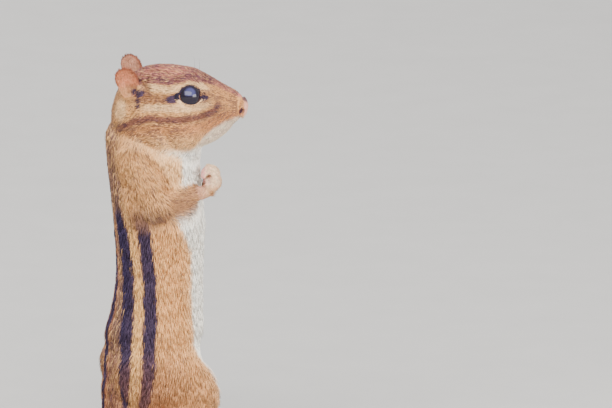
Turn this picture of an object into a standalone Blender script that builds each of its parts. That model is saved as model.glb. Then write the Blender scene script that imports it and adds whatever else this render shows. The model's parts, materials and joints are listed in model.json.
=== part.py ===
"""Life-size still model of an eastern chipmunk standing upright on its haunches.

The animal faces +X with its left side at +Y, and stands on the floor at Z = 0.
Sizes are in millimetres in the tables below and become metres where a mesh is made.
The body is modelled whole, then parted with thin cuts into the pieces a person would name.
"""

import math
import random

import bmesh
import bpy
import numpy as np
from mathutils import Matrix, Vector

MM = 0.001
GAP = 0.3  # clearance between two pieces that touch

# Trunk: height, back X, front X, half width. The coat is included.
TRUNK = (
    (7.5, -13.0, -1.0, 6.0),
    (12.0, -18.2, 5.0, 11.5),
    (18.4, -20.6, 9.5, 15.5),
    (26.0, -20.9, 13.0, 18.0),
    (36.0, -19.8, 16.2, 19.0),
    (46.4, -18.1, 17.1, 18.2),
    (56.3, -15.8, 17.4, 16.8),
    (67.4, -14.3, 17.5, 15.7),
    (76.6, -14.4, 17.8, 15.4),
    (87.6, -15.1, 18.1, 15.4),
    (98.0, -16.1, 17.2, 15.2),
    (107.8, -17.2, 16.8, 14.6),
    (116.0, -17.7, 16.6, 13.6),
    (121.5, -17.2, 12.0, 12.4),
    (126.5, -15.0, 6.0, 10.0),
)
# Head: X, top, bottom, height of the widest level, half width there.
HEAD = (
    (-15.6, 129.5, 119.0, 124.5, 5.5),
    (-13.0, 136.2, 115.0, 125.5, 9.8),
    (-8.0, 141.6, 112.5, 126.0, 12.6),
    (-2.0, 144.2, 112.0, 126.5, 13.7),
    (5.0, 144.6, 112.2, 126.8, 13.8),
    (10.0, 144.1, 113.0, 127.2, 13.2),
    (14.5, 143.3, 114.0, 127.8, 12.0),
    (19.0, 141.3, 115.4, 128.2, 9.9),
    (23.0, 139.1, 117.4, 128.4, 7.6),
    (26.5, 137.2, 120.2, 128.5, 5.8),
    (29.5, 135.6, 123.9, 128.9, 4.6),
    (32.0, 133.7, 125.4, 129.3, 3.5),
    (33.4, 132.1, 127.2, 129.6, 1.9),
)
EYE_CENTRE = (13.0, 8.6, 134.9)
EYE_RADIUS = 4.3
EYE_AXIS = (0.33, 0.92, 0.18)
LID_WIDTH, LID_HEIGHT = 3.6, 3.0  # half the opening between the lids
LID_FORM = (5.6, 5.1, 5.0)  # the mound round the eye: along the head, outwards, upwards

EAR_BASE = (-7.0, 10.2, 134.8)
EAR_TIP = (-10.2, 13.2, 146.1)
EAR_FACES = (0.30, 0.95, 0.06)
EAR_HALF_WIDTH = 4.5
EAR_THICK = 0.7

SHOULDER, ELBOW, WRIST = (-6.0, 12.2, 112.0), (0.8, 16.2, 95.8), (19.2, 8.4, 101.6)
KNEE, HEEL = (12.2, 15.0, 24.0), (-9.0, 14.2, 6.2)
TWIST_HIPS, TWIST_HEAD = 13.0, -3.0  # degrees about +Z, hips turned away from the viewer
TWIST_LOW, TWIST_HIGH = 36.0, 118.0  # the heights between which the back twists

TAIL_PATH = (
    (-13.0, 0.0, 15.0),
    (-20.0, 0.4, 10.0),
    (-30.0, 1.5, 5.0),
    (-44.0, 4.5, 3.1),
    (-60.0, 10.0, 2.8),
    (-76.0, 18.0, 2.4),
    (-90.0, 28.0, 1.7),
)
TAIL_RADII = (6.2, 4.8, 3.5, 3.0, 2.6, 2.1, 1.2)

SIDES = {"right": -1, "left": 1}
# Triangles a piece keeps after its cuts, so that flat parts hold few and round parts enough.
KEEP = {
    "head": 2700,
    "nose": 380,
    "neck": 480,
    "chest": 760,
    "belly": 420,
    "rump": 940,
    "upper_arm": 380,
    "forearm": 330,
    "thigh": 460,
    "shank": 440,
}
STEP = {"right": 0.0, "left": 2.2}  # the left hind foot stands a little ahead
RAISE = {"right": -1.4, "left": -4.2}  # and the left paw is held a little lower

COLOURS = {
    "tan_fur": (0.58, 0.37, 0.20),
    "ear_skin": (0.62, 0.34, 0.25),
    "nose_skin": (0.60, 0.38, 0.30),
    "paw_skin": (0.66, 0.48, 0.38),
    "eye": (0.01, 0.01, 0.015),
    "claw": (0.20, 0.14, 0.11),
    "tail_fur": (0.24, 0.15, 0.10),
}
ROUGHNESS = {"eye": 0.05, "claw": 0.4, "nose_skin": 0.5}


def clear_scene():
    for obj in list(bpy.data.objects):
        bpy.data.objects.remove(obj)


def collection(name):
    made = bpy.data.collections.new(name)
    bpy.context.scene.collection.children.link(made)
    return made


def material(name):
    made = bpy.data.materials.new(name)
    made.use_nodes = True
    shader = made.node_tree.nodes["Principled BSDF"]
    shader.inputs["Base Color"].default_value = (*COLOURS[name], 1.0)
    shader.inputs["Roughness"].default_value = ROUGHNESS.get(name, 0.85)
    return made


def side_point(point, sign, forward=0.0, up=0.0):
    """A right-hand or left-hand copy of a point given for the left side."""
    return Vector((point[0] + forward, point[1] * sign, point[2] + up))


def eased(table, count):
    """Rows read from a smooth curve through the table's own rows."""
    rows = np.array(table, float)
    steps = np.linalg.norm(np.diff(rows[:, :3], axis=0), axis=1)
    along = np.concatenate([[0.0], np.cumsum(steps)])
    slopes = np.gradient(rows, along, axis=0)
    at = np.linspace(0.0, along[-1], count)
    k = np.clip(np.searchsorted(along, at, side="right") - 1, 0, len(rows) - 2)
    span = (along[k + 1] - along[k])[:, None]
    t = ((at - along[k]) / span[:, 0])[:, None]
    low, high = rows[k], rows[k + 1]
    return (
        (2 * t**3 - 3 * t**2 + 1) * low
        + (t**3 - 2 * t**2 + t) * span * slopes[k]
        + (3 * t**2 - 2 * t**3) * high
        + (t**3 - t**2) * span * slopes[k + 1]
    )


def mesh_object(name, bm, where):
    """Turns a bmesh in millimetres into an object in metres."""
    bmesh.ops.recalc_face_normals(bm, faces=bm.faces)
    bmesh.ops.scale(bm, vec=(MM, MM, MM), verts=bm.verts)
    mesh = bpy.data.meshes.new(name)
    bm.to_mesh(mesh)
    bm.free()
    obj = bpy.data.objects.new(name, mesh)
    where.objects.link(obj)
    return obj


def loft(name, rings, where):
    """A closed body through rings that have the same number of points."""
    bm = bmesh.new()
    made = [[bm.verts.new(p) for p in ring] for ring in rings]
    count = len(made[0])
    for low, high in zip(made, made[1:]):
        for i in range(count):
            j = (i + 1) % count
            bm.faces.new((low[i], low[j], high[j], high[i]))
    bm.faces.new(made[0][::-1])
    bm.faces.new(made[-1])
    return mesh_object(name, bm, where)


def trunk_form(where):
    rings = []
    turn = np.linspace(0, 2 * math.pi, 40, endpoint=False)
    for z, back, front, half in eased(TRUNK, 60):
        middle, depth = (back + front) / 2, (front - back) / 2
        x = middle + depth * np.sign(np.cos(turn)) * np.abs(np.cos(turn)) ** 0.92
        y = half * np.sign(np.sin(turn)) * np.abs(np.sin(turn)) ** 0.92
        rings.append([(a, b, z) for a, b in zip(x, y)])
    return loft("trunk_form", rings, where)


def head_form(where):
    rings = []
    turn = np.linspace(0, 2 * math.pi, 40, endpoint=False)
    for x, top, bottom, wide, half in eased(HEAD, 48):
        rise = np.where(np.sin(turn) > 0, top - wide, wide - bottom)
        narrow = 1 - 0.42 * min(1.0, max(0.0, (x - 8) / 16)) * np.maximum(0.0, -np.sin(turn))
        y = half * np.sign(np.cos(turn)) * np.abs(np.cos(turn)) ** 0.9 * narrow
        z = wide + rise * np.sign(np.sin(turn)) * np.abs(np.sin(turn)) ** 0.95
        rings.append([(x, a, b) for a, b in zip(y, z)])
    return loft("head_form", rings, where)


def blob(name, centre, radii, where, tilt=(0, 0, 0), rings=16):
    """An ellipsoid; tilt is in degrees about X, Y and Z."""
    bm = bmesh.new()
    bmesh.ops.create_uvsphere(bm, u_segments=rings + 8, v_segments=rings, radius=1.0)
    turn = Matrix.Rotation(math.radians(tilt[2]), 4, "Z")
    turn @= Matrix.Rotation(math.radians(tilt[1]), 4, "Y")
    turn @= Matrix.Rotation(math.radians(tilt[0]), 4, "X")
    place = Matrix.Translation(Vector(centre)) @ turn @ Matrix.Diagonal((*radii, 1.0))
    bmesh.ops.transform(bm, matrix=place, verts=bm.verts)
    return mesh_object(name, bm, where)


def tube(name, points, radii, where, steps=14, sides=16):
    """A round limb through points, with its own radius at each, closed by flat caps."""
    table = [(*p, r) for p, r in zip(points, radii)]
    rows = eased(table, steps)
    curve = bpy.data.curves.new(name, "CURVE")
    curve.dimensions = "3D"
    curve.bevel_depth = MM
    curve.bevel_resolution = max(0, sides // 4 - 2)
    curve.use_fill_caps = True
    spline = curve.splines.new("POLY")
    spline.points.add(len(rows) - 1)
    for point, row in zip(spline.points, rows):
        point.co = (row[0] * MM, row[1] * MM, row[2] * MM, 1.0)
        point.radius = row[3]
    guide = bpy.data.objects.new(name, curve)
    where.objects.link(guide)
    obj = meshed(guide, where)
    weld(obj)
    return obj


def meshed(obj, where):
    """A plain mesh copy of an object as its modifiers leave it; the object is removed."""
    graph = bpy.context.evaluated_depsgraph_get()
    mesh = bpy.data.meshes.new_from_object(obj.evaluated_get(graph), depsgraph=graph)
    name, world = obj.name, obj.matrix_world.copy()
    bpy.data.objects.remove(obj)
    made = bpy.data.objects.new(name, mesh)
    made.matrix_world = world
    where.objects.link(made)
    return made


def weld(obj, distance=0.02):
    bm = bmesh.new()
    bm.from_mesh(obj.data)
    bmesh.ops.remove_doubles(bm, verts=bm.verts, dist=distance * MM)
    bmesh.ops.recalc_face_normals(bm, faces=bm.faces)
    bm.to_mesh(obj.data)
    bm.free()


def applied(obj, kind, **settings):
    """Adds one modifier, sets it and applies it."""
    change = obj.modifiers.new(kind.lower(), kind)
    for key, value in settings.items():
        setattr(change, key, value)
    graph = bpy.context.evaluated_depsgraph_get()
    mesh = bpy.data.meshes.new_from_object(obj.evaluated_get(graph), depsgraph=graph)
    obj.modifiers.clear()
    obj.data = mesh
    return obj


def fused(name, forms, where, voxel, rounds):
    """Closed forms that overlap become one skin, and its creases are eased."""
    bm = bmesh.new()
    for form in forms:
        bm.from_mesh(form.data)
    for form in forms:
        bpy.data.objects.remove(form)
    bmesh.ops.scale(bm, vec=(1 / MM, 1 / MM, 1 / MM), verts=bm.verts)
    obj = mesh_object(name, bm, where)
    applied(obj, "REMESH", mode="VOXEL", voxel_size=voxel * MM)
    if rounds:
        applied(obj, "SMOOTH", factor=0.5, iterations=rounds)
    return obj


def copied(obj, name, where):
    made = bpy.data.objects.new(name, obj.data.copy())
    where.objects.link(made)
    return made


def thinned(obj, triangles):
    """Fewer triangles, kept where the form bends."""
    have = sum(len(p.vertices) - 2 for p in obj.data.polygons)
    return applied(obj, "DECIMATE", ratio=min(1.0, triangles / have), use_collapse_triangulate=True)


def keep_largest(obj):
    """Drops the scraps a cut leaves, so that the piece is one closed body."""
    bm = bmesh.new()
    bm.from_mesh(obj.data)
    left, bodies = set(bm.verts), []
    while left:
        body, edge = set(), [left.pop()]
        while edge:
            vert = edge.pop()
            body.add(vert)
            for link in vert.link_edges:
                other = link.other_vert(vert)
                if other in left:
                    left.discard(other)
                    edge.append(other)
        bodies.append(body)
    bodies.sort(key=len, reverse=True)
    for body in bodies[1:]:
        bmesh.ops.delete(bm, geom=list(body), context="VERTS")
    bm.to_mesh(obj.data)
    bm.free()
    return obj


def boolean(obj, operation, cutter):
    """The meshes here are dense and closed, so the MANIFOLD solver does each cut."""
    return applied(obj, "BOOLEAN", operation=operation, solver="MANIFOLD", object=cutter)


def cut_by(obj, *cutters):
    for cutter in cutters:
        boolean(obj, "DIFFERENCE", cutter)
    return keep_largest(obj)


def grown(obj, name, where, gap=GAP, voxel=0.5, triangles=360):
    """A copy that stands off by the clearance all round, to cut a seat for the piece."""
    made = copied(obj, name, where)
    applied(made, "DISPLACE", strength=(gap + 0.08) * MM, mid_level=0.0)
    applied(made, "REMESH", mode="VOXEL", voxel_size=voxel * MM)
    return thinned(made, triangles)


def plate(name, point, normal, where, thick=GAP, size=120.0):
    """A thin flat cutter through a point, square to a direction."""
    bm = bmesh.new()
    bmesh.ops.create_cube(bm, size=1.0)
    turn = Vector(normal).normalized().to_track_quat("Z", "Y").to_matrix().to_4x4()
    place = Matrix.Translation(Vector(point)) @ turn @ Matrix.Diagonal((size, size, thick, 1.0))
    bmesh.ops.transform(bm, matrix=place, verts=bm.verts)
    return mesh_object(name, bm, where)


def prism(name, outline, half, where):
    """A flat outline in X and Z, extruded to both sides of the middle plane."""
    rings = [[(x, side * half, z) for x, z in outline] for side in (-1, 1)]
    return loft(name, rings, where)


def widened(outline, room):
    """A flat outline, listed clockwise, with each corner moved outwards."""
    made = []
    for i, here in enumerate(outline):
        before, after = outline[i - 1], outline[(i + 1) % len(outline)]
        sides = [Vector((b[0] - a[0], b[1] - a[1])).normalized() for a, b in ((before, here), (here, after))]
        out = sum((Vector((-side.y, side.x)) for side in sides), Vector((0, 0))).normalized()
        reach = room / max(0.5, out.dot(Vector((-sides[0].y, sides[0].x))))
        made.append((here[0] + out.x * reach, here[1] + out.y * reach))
    return made


def facing(obj, axis, centre):
    """Turns a form made about the origin, with +Y outwards, to an eye's own axis."""
    out = Vector(axis).normalized()
    across = Vector((out.y, -out.x, 0)).normalized() * math.copysign(1, out.y)
    turn = Matrix((across, out, across.cross(out))).transposed().to_4x4()
    obj.data.transform(Matrix.Translation(Vector(centre) * MM) @ turn)
    return obj


def lid_mound(name, sign, where):
    """The fullness of both lids round the eyeball."""
    return facing(
        blob(name, (0, 0, 0), LID_FORM, where), side_point(EYE_AXIS, sign), side_point(EYE_CENTRE, sign)
    )


def lid_opening(name, sign, where):
    """The almond between the lids, cut outwards from the eyeball."""
    rings = []
    for depth, grow in ((1.0, 0.9), (3.5, 1.0), (7.5, 1.25)):
        ring = []
        for a in np.linspace(0, 2 * math.pi, 24, endpoint=False):
            rise = math.sin(a) * (0.8 + 0.2 * abs(math.sin(a)))
            ring.append((math.cos(a) * LID_WIDTH * grow, depth, rise * LID_HEIGHT * grow))
        rings.append(ring)
    form = loft(name, rings, where)
    return facing(form, side_point(EYE_AXIS, sign), side_point(EYE_CENTRE, sign))


def body_forms(where):
    """Every form of flesh apart from ears, paws, feet and tail."""
    forms = [trunk_form(where), head_form(where)]
    forms.append(blob("nose_ball", (31.2, 0, 129.8), (2.7, 2.8, 3.2), where))
    forms.append(blob("chin", (22.2, 0, 119.9), (4.0, 3.2, 1.9), where, (0, -28, 0)))
    for side, sign in SIDES.items():
        forms.append(lid_mound("lids", sign, where))
        for name, centre, radii, tilt in (
            ("cheek", (8.5, 8.4, 121.0), (9.5, 5.2, 6.6), (0, 12, 0)),
            ("jaw_angle", (1.5, 8.6, 119.5), (8.0, 5.4, 6.5), (0, 0, 0)),
            ("whisker_pad", (26.8, 2.9, 126.9), (4.0, 2.6, 2.6), (0, 10, 0)),
            ("brow", (13.0, 7.0, 139.3), (5.4, 3.2, 2.0), (0, 12, 0)),
            ("ear_root", (-6.4, 9.6, 135.6), (4.4, 3.4, 4.6), (0, -20, 0)),
            ("shoulder", (-5.0, 9.2, 110.0), (9.0, 7.2, 10.5), (0, -14, 0)),
            ("haunch", (-3.0, 11.0, 33.5), (16.5, 9.5, 16.0), (0, -8, 0)),
            ("knee", (11.8, 14.6, 24.4), (9.0, 7.6, 11.6), (0, 8, 0)),
            ("thigh", (4.4, 12.6, 30.5), (16.0, 9.2, 12.5), (0, 16, 0)),
        ):
            lean = (tilt[0] * sign, tilt[1], tilt[2])
            forms.append(blob(name, side_point(centre, sign), radii, where, lean))
        top, elbow = side_point(SHOULDER, sign), side_point(ELBOW, sign)
        arm = [top, (top + elbow) / 2, elbow]
        forms.append(tube("upper_arm", arm, (4.6, 5.8, 4.7), where, steps=8))
        forms.append(blob("elbow", side_point(ELBOW, sign), (4.9, 4.2, 4.6), where))
        wrist = side_point(WRIST, sign, up=RAISE[side])
        fore = [side_point(ELBOW, sign), (side_point(ELBOW, sign) + wrist) / 2, wrist]
        forms.append(tube("forearm", fore, (4.4, 3.3, 2.5), where, steps=8))
        forms.append(blob("wrist", wrist, (2.5, 2.5, 2.5), where))
        shank = [side_point(KNEE, sign), side_point((2.0, 14.6, 13.5), sign), side_point(HEEL, sign)]
        forms.append(tube("shank", shank, (7.6, 7.4, 4.6), where, steps=10))
        forms.append(blob("ankle", side_point(HEEL, sign), (4.8, 4.4, 4.6), where))
        forms.append(blob("calf", side_point((3.0, 14.0, 14.5), sign), (12.0, 7.4, 7.6), where, (0, -26, 0)))
    return forms


def forepaw_parts(side, sign, where):
    """Palm, four digits and a thumb knob, bent up at the wrist, and the digits' tips."""
    up = RAISE[side]
    wrist = side_point(WRIST, sign, up=up)
    palm = side_point((21.4, 6.2, 104.2), sign, up=up)
    forms = [
        tube("heel_of_hand", [wrist, palm], (2.5, 3.2), where, steps=6),
        blob("palm", palm, (3.1, 3.5, 3.9), where, (0, 12, 0)),
        blob("thumb", side_point((18.6, 3.4, 103.4), sign, up=up), (1.3, 1.1, 1.5), where),
    ]
    tips = []
    for i, spread in enumerate((-3.0, -1.05, 0.95, 2.8)):
        reach = (0.0, 0.7, 0.6, -0.3)[i]
        knuckle = side_point((22.0, 6.2 + spread * 0.92, 106.6 + reach * 0.5), sign, up=up)
        middle = side_point((20.9, 6.0 + spread * 1.12, 108.5 + reach), sign, up=up)
        tip = side_point((19.1, 5.7 + spread * 1.15, 107.4 + reach * 0.6), sign, up=up)
        forms.append(tube("digit", [knuckle, middle, tip], (1.5, 1.35, 1.1), where, steps=7, sides=12))
        forms.append(blob("knuckle", knuckle, (1.6, 1.4, 1.6), where, rings=8))
        forms.append(blob("pad", tip, (1.2, 1.1, 1.15), where, rings=8))
        tips.append((tip, Vector((-0.3, 0, -0.95))))
    return forms, tips


def hind_foot_parts(side, sign, where):
    """A long flat sole from the heel to five toes."""
    ahead = STEP[side]
    heel = side_point((-10.5, 14.0, 2.7), sign)
    instep = side_point((1.0, 14.2, 3.1), sign, forward=ahead * 0.6)
    ball = side_point((12.0, 14.6, 2.2), sign, forward=ahead)
    forms = [
        tube("sole", [heel, instep, ball], (3.3, 3.4, 3.0), where, steps=10),
        blob("heel", heel, (3.6, 3.3, 3.4), where),
        blob("ankle_root", side_point((-7.6, 14.1, 5.4), sign), (3.6, 3.3, 3.6), where),
        blob("ball", ball, (4.2, 4.3, 2.7), where),
    ]
    tips = []
    for i, spread in enumerate((-3.6, -1.9, 0.0, 1.9, 3.6)):
        reach = (-4.4, -0.8, 0.0, -0.7, -3.6)[i]
        root = side_point((13.4 + reach * 0.35, 14.6 + spread * 0.78, 2.0), sign, forward=ahead)
        middle = side_point((17.6 + reach * 0.8, 14.8 + spread * 1.04, 2.1), sign, forward=ahead)
        tip = side_point((21.4 + reach, 15.0 + spread * 1.16, 0.95), sign, forward=ahead)
        forms.append(tube("toe", [root, middle, tip], (1.5, 1.35, 1.1), where, steps=8, sides=12))
        forms.append(blob("toe_pad", tip, (1.25, 1.15, 1.15), where, rings=8))
        tips.append((tip, Vector((0.93, 0.03 * spread * sign, -0.05))))
    return forms, tips


def claw(name, tip, direction, length, where):
    """A short hooked claw whose root sits in the tip of its digit."""
    out = Vector(direction).normalized()
    droop = Vector((0, 0, -1))
    points = [tip + out * 0.2 + Vector((0, 0, 0.35)), tip + out * (length * 0.55) + Vector((0, 0, 0.45))]
    points.append(tip + out * length + droop * (length * 0.22))
    return tube(name, points, (0.55, 0.46, 0.14), where, steps=4, sides=8)


def ear(name, sign, where):
    """A thin cup: an open surface that curls round the ear's opening, given a wall."""
    base, tip = side_point(EAR_BASE, sign), side_point(EAR_TIP, sign)
    rise = tip - base
    height = rise.length
    rise.normalize()
    face = side_point(EAR_FACES, sign)
    face = (face - rise * face.dot(rise)).normalized()
    across = rise.cross(face).normalized() * sign
    bm = bmesh.new()
    rows = []
    levels, columns = 8, 11
    for i in range(levels):
        v = i / (levels - 1)
        half = EAR_HALF_WIDTH * (0.60 + 0.40 * math.sin(min(1.0, v / 0.52) * math.pi / 2))
        half *= math.sqrt(max(0.03, 1 - max(0.0, (v - 0.42) / 0.58) ** 2.3))
        curl = math.radians(128 - 66 * min(1.0, v / 0.5))
        radius = half / math.sin(min(curl, math.pi / 2))
        row = []
        for j in range(columns):
            turn = curl * (2 * j / (columns - 1) - 1)
            sweep = across * (radius * math.sin(turn))
            depth = face * (radius * (1 - math.cos(turn)) * 0.82 - 1.6)
            row.append(bm.verts.new(base + rise * (height * v) + sweep + depth))
        rows.append(row)
    for low, high in zip(rows, rows[1:]):
        for j in range(columns - 1):
            bm.faces.new((low[j], low[j + 1], high[j + 1], high[j]))
    obj = mesh_object(name, bm, where)
    applied(obj, "SOLIDIFY", thickness=EAR_THICK * MM, offset=0.0, use_even_offset=True)
    weld(obj)
    return obj


def tail_rows(count):
    rows = eased([(*p, r) for p, r in zip(TAIL_PATH, TAIL_RADII)], count)
    return [(Vector(r[:3]), r[3]) for r in rows]


def lock(name, root, along, out, length, width, where):
    """A flat tapered tuft: leaves the tail at a slant, then bends back along its lie."""
    side = along.cross(out).normalized()
    rings = []
    for t, wide, thick in ((0.0, 0.72, 1.2), (0.5, 1.0, 0.9), (1.0, 0.14, 0.5)):
        lift = 0.92 * t - 0.24 * t * t
        centre = root + along * (length * t * (0.80 + 0.10 * t)) + out * (length * lift * 0.80 - 0.6)
        flat = side * (width * wide / 2)
        deep = (out - along * 0.5).normalized() * (thick / 2)
        rings.append([centre + flat, centre + deep, centre - flat, centre - deep])
    return loft(name, rings, where)


def tail_form(rows, where, hairy):
    """The whole tail as one body: its core, and tufts all along it from the hairy row on."""
    core = tube("tail", [p for p, r in rows], [r for p, r in rows], where, steps=20, sides=10)
    tufts = collection("tufts")
    chance = random.Random(7)
    for i in range(hairy, len(rows)):
        place, radius = rows[i]
        along = (rows[min(i + 1, len(rows) - 1)][0] - rows[i - 1][0]).normalized()
        level = Vector((0, 0, 1)).cross(along).normalized()
        over = along.cross(level)
        share = i / (len(rows) - 1)
        for turn in (-80, -28, 28, 80) if i % 2 else (-54, 0, 54):
            angle = math.radians(turn + chance.uniform(-6, 6))
            out = level * math.sin(angle) + over * math.cos(angle)
            flank = abs(math.sin(angle))
            length = (7.6 + 5.4 * flank) * (0.80 + 0.36 * share) * chance.uniform(0.9, 1.1)
            lock("tuft", place + out * (radius * 0.55), along, out, length, 4.2, tufts)
    joined = core.modifiers.new("join", "BOOLEAN")
    joined.operation, joined.operand_type = "UNION", "COLLECTION"
    joined.solver, joined.collection = "MANIFOLD", tufts
    graph = bpy.context.evaluated_depsgraph_get()
    mesh = bpy.data.meshes.new_from_object(core.evaluated_get(graph), depsgraph=graph)
    core.modifiers.clear()
    core.data = mesh
    for tuft in list(tufts.objects):
        bpy.data.objects.remove(tuft)
    bpy.data.collections.remove(tufts)
    keep_largest(core)
    applied(core, "REMESH", mode="VOXEL", voxel_size=0.3 * MM)
    return thinned(core, 4000)


def twisted(obj):
    """Turns the body about the upright axis, more at the hips than at the head."""
    for vert in obj.data.vertices:
        share = (vert.co.z / MM - TWIST_LOW) / (TWIST_HIGH - TWIST_LOW)
        share = min(1.0, max(0.0, share))
        share = share * share * (3 - 2 * share)
        angle = math.radians(TWIST_HIPS + (TWIST_HEAD - TWIST_HIPS) * share)
        x, y = vert.co.x, vert.co.y
        vert.co.x = x * math.cos(angle) - y * math.sin(angle)
        vert.co.y = x * math.sin(angle) + y * math.cos(angle)


def split_loose(obj, names, where, first=(0, 0, 1)):
    """Names the bodies that the thin cuts left, from the one furthest along a direction."""
    bm = bmesh.new()
    bm.from_mesh(obj.data)
    left, bodies = set(bm.verts), []
    while left:
        body, edge = set(), [left.pop()]
        while edge:
            vert = edge.pop()
            body.add(vert)
            for link in vert.link_edges:
                other = link.other_vert(vert)
                if other in left:
                    left.discard(other)
                    edge.append(other)
        bodies.append(body)
    bodies = sorted(bodies, key=len, reverse=True)[: len(names)]
    bodies.sort(key=lambda body: -sum(v.co.dot(Vector(first)) for v in body) / len(body))
    made = {}
    for name, body in zip(names, bodies):
        keep = {v.index for v in body}
        piece = copied(obj, name, where)
        cut = bmesh.new()
        cut.from_mesh(piece.data)
        bmesh.ops.delete(cut, geom=[v for v in cut.verts if v.index not in keep], context="VERTS")
        cut.to_mesh(piece.data)
        cut.free()
        made[name] = piece
    bm.free()
    bpy.data.objects.remove(obj)
    return made


def main():
    clear_scene()
    nodes = collection("chipmunk")
    work = collection("work")

    whole = fused("whole", body_forms(work), work, voxel=0.5, rounds=9)
    head_level = thinned(copied(whole, "head_level", work), 11000)
    body_level = thinned(copied(whole, "body_level", work), 5200)

    made = {}
    for name in ("right", "left"):
        sign = SIDES[name]
        forms, tips = forepaw_parts(name, sign, work)
        made["forepaw_" + name] = (fused("forepaw_" + name, forms, work, 0.3, 2), 640)
        for i, (tip, way) in enumerate(tips):
            label = f"claw_fore_{name}_{i + 1}"
            made[label] = (claw(label, tip, way, 2.0, work), None)
        forms, tips = hind_foot_parts(name, sign, work)
        made["hind_foot_" + name] = (fused("hind_foot_" + name, forms, work, 0.35, 2), 520)
        for i, (tip, way) in enumerate(tips):
            label = f"claw_hind_{name}_{i + 1}"
            made[label] = (claw(label, tip, way, 2.9, work), None)

    floor = plate("floor", (0, 0, -10), (0, 0, 1), work, thick=20.0, size=400)
    pieces = {}
    for label, (obj, budget) in made.items():
        if budget:
            thinned(obj, budget)
            cut_by(obj, floor)
        pieces[label] = obj

    paws = {n: grown(pieces[n], "seat_" + n, work) for n in pieces if "paw" in n or "foot" in n}
    for label, obj in pieces.items():
        if label.startswith("claw"):
            kind, side = ("forepaw_", label.split("_")[2]) if "fore" in label else ("hind_foot_", label.split("_")[2])
            cut_by(obj, paws[kind + side])

    regions = {}
    for side, sign in SIDES.items():
        up = RAISE[side]
        arm_mid = (side_point(SHOULDER, sign) + side_point(ELBOW, sign)) / 2
        regions["upper_arm_" + side] = ("blob", arm_mid + Vector((0.2, 1.2 * sign, 1.0)), (8.4, 6.6, 14.6), (0, -22, 0))
        fore_mid = (side_point(ELBOW, sign) + side_point(WRIST, sign, up=up)) / 2
        regions["forearm_" + side] = ("blob", fore_mid + Vector((0.6, 0.6 * sign, 0)), (15.5, 5.0, 5.6), (0, -15, -24 * sign))
        regions["thigh_" + side] = ("blob", side_point((3.4, 17.0, 31.5), sign), (21.0, 9.0, 15.4), (0, 18, 0))
        regions["shank_" + side] = ("blob", side_point((2.5, 15.5, 13.0), sign), (20.0, 8.0, 11.0), (0, -24, 0))

    # Arms and legs are taken out of the whole with rounded cutters, and the trunk keeps the rest.
    seats = []
    for label, (_, centre, radii, tilt) in regions.items():
        cutter = blob("cut_" + label, centre, radii, work, tilt, rings=10)
        limb = copied(body_level, label, work)
        boolean(limb, "INTERSECT", cutter)
        cut_by(limb, *seats, *paws.values(), floor)
        pieces[label] = limb
        wide = tuple(r + GAP for r in radii)
        seats.append(blob("seat_" + label, centre, wide, work, tilt, rings=10))

    # Trunk and head are parted by thin plates.
    trunk = cut_by(body_level, *seats, *paws.values(), floor)
    neck_line = plate("neck_line", (0.0, 0.0, 118.0), (0.36, 0, 1), work)
    keep_low = plate("keep_low", (0.0, 0.0, 118.0), (0.36, 0, 1), work, thick=GAP)
    boolean(trunk, "DIFFERENCE", keep_low)
    for height, lean in ((106.5, 0.16), (78.0, 0.0), (47.0, -0.06)):
        line = plate("line", (0, 0, height), (lean, 0, 1), work)
        boolean(trunk, "DIFFERENCE", line)
    parts = split_loose(trunk, ("old_head", "neck", "chest", "belly", "rump"), work)
    bpy.data.objects.remove(parts.pop("old_head"))
    pieces.update(parts)

    head = cut_by(head_level, *seats)
    boolean(head, "DIFFERENCE", neck_line)
    head = split_loose(head, ("head", "rest"), work)
    bpy.data.objects.remove(head.pop("rest"))
    head = head["head"]
    eyes = {}
    for side, sign in SIDES.items():
        centre = side_point(EYE_CENTRE, sign)
        eyes["eye_" + side] = blob("eye_" + side, centre, (EYE_RADIUS,) * 3, work, rings=10)
        socket = blob("socket", centre, (EYE_RADIUS + GAP,) * 3, work, rings=10)
        cut_by(head, socket, lid_opening("opening", sign, work))

    mouth = ((21.0, 118.6), (23.4, 120.0), (25.6, 121.2), (28.2, 121.8), (31.0, 121.0), (30.0, 112.0), (19.0, 112.0), (18.4, 116.2))
    jaw_cut = prism("jaw_cut", mouth, 9.0, work)
    jaw_seat = prism("jaw_seat", widened(mouth, GAP + 0.1), 9.5, work)
    jaw = copied(head, "jaw", work)
    boolean(jaw, "INTERSECT", jaw_cut)
    pieces["jaw"] = keep_largest(jaw)
    cut_by(head, jaw_seat)

    nose_cut = blob("nose_cut", (32.4, 0, 129.3), (2.9, 4.0, 3.9), work, rings=8)
    nose_seat = blob("nose_seat", (32.4, 0, 129.3), (2.9 + GAP, 4.0 + GAP, 3.9 + GAP), work, rings=8)
    nose = copied(head, "nose", work)
    boolean(nose, "INTERSECT", nose_cut)
    for side, sign in SIDES.items():
        nostril = blob("nostril", side_point((31.7, 2.7, 128.2), sign), (0.75, 1.3, 1.35), work, (0, 20, 20 * sign), 8)
        boolean(nose, "DIFFERENCE", nostril)
    pieces["nose"] = keep_largest(nose)
    cut_by(head, nose_seat)
    pieces["head"] = head
    pieces.update(eyes)

    head_room = grown(head, "head_room", work, triangles=2500)
    for side, sign in SIDES.items():
        shell = ear("ear_" + side, sign, work)
        pieces["ear_" + side] = cut_by(shell, head_room)

    rows = tail_rows(24)
    tail = tail_form(rows, work, 6)
    rump_room = grown(pieces["rump"], "rump_room", work, triangles=1500)
    cut_by(tail, rump_room, floor)
    for i in (9, 16):
        along = rows[i + 1][0] - rows[i - 1][0]
        boolean(tail, "DIFFERENCE", plate("tail_line", rows[i][0], along, work, size=60))
    pieces.update(split_loose(tail, ("tail_base", "tail_middle", "tail_tip"), work, (1, 0, 0)))

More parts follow.
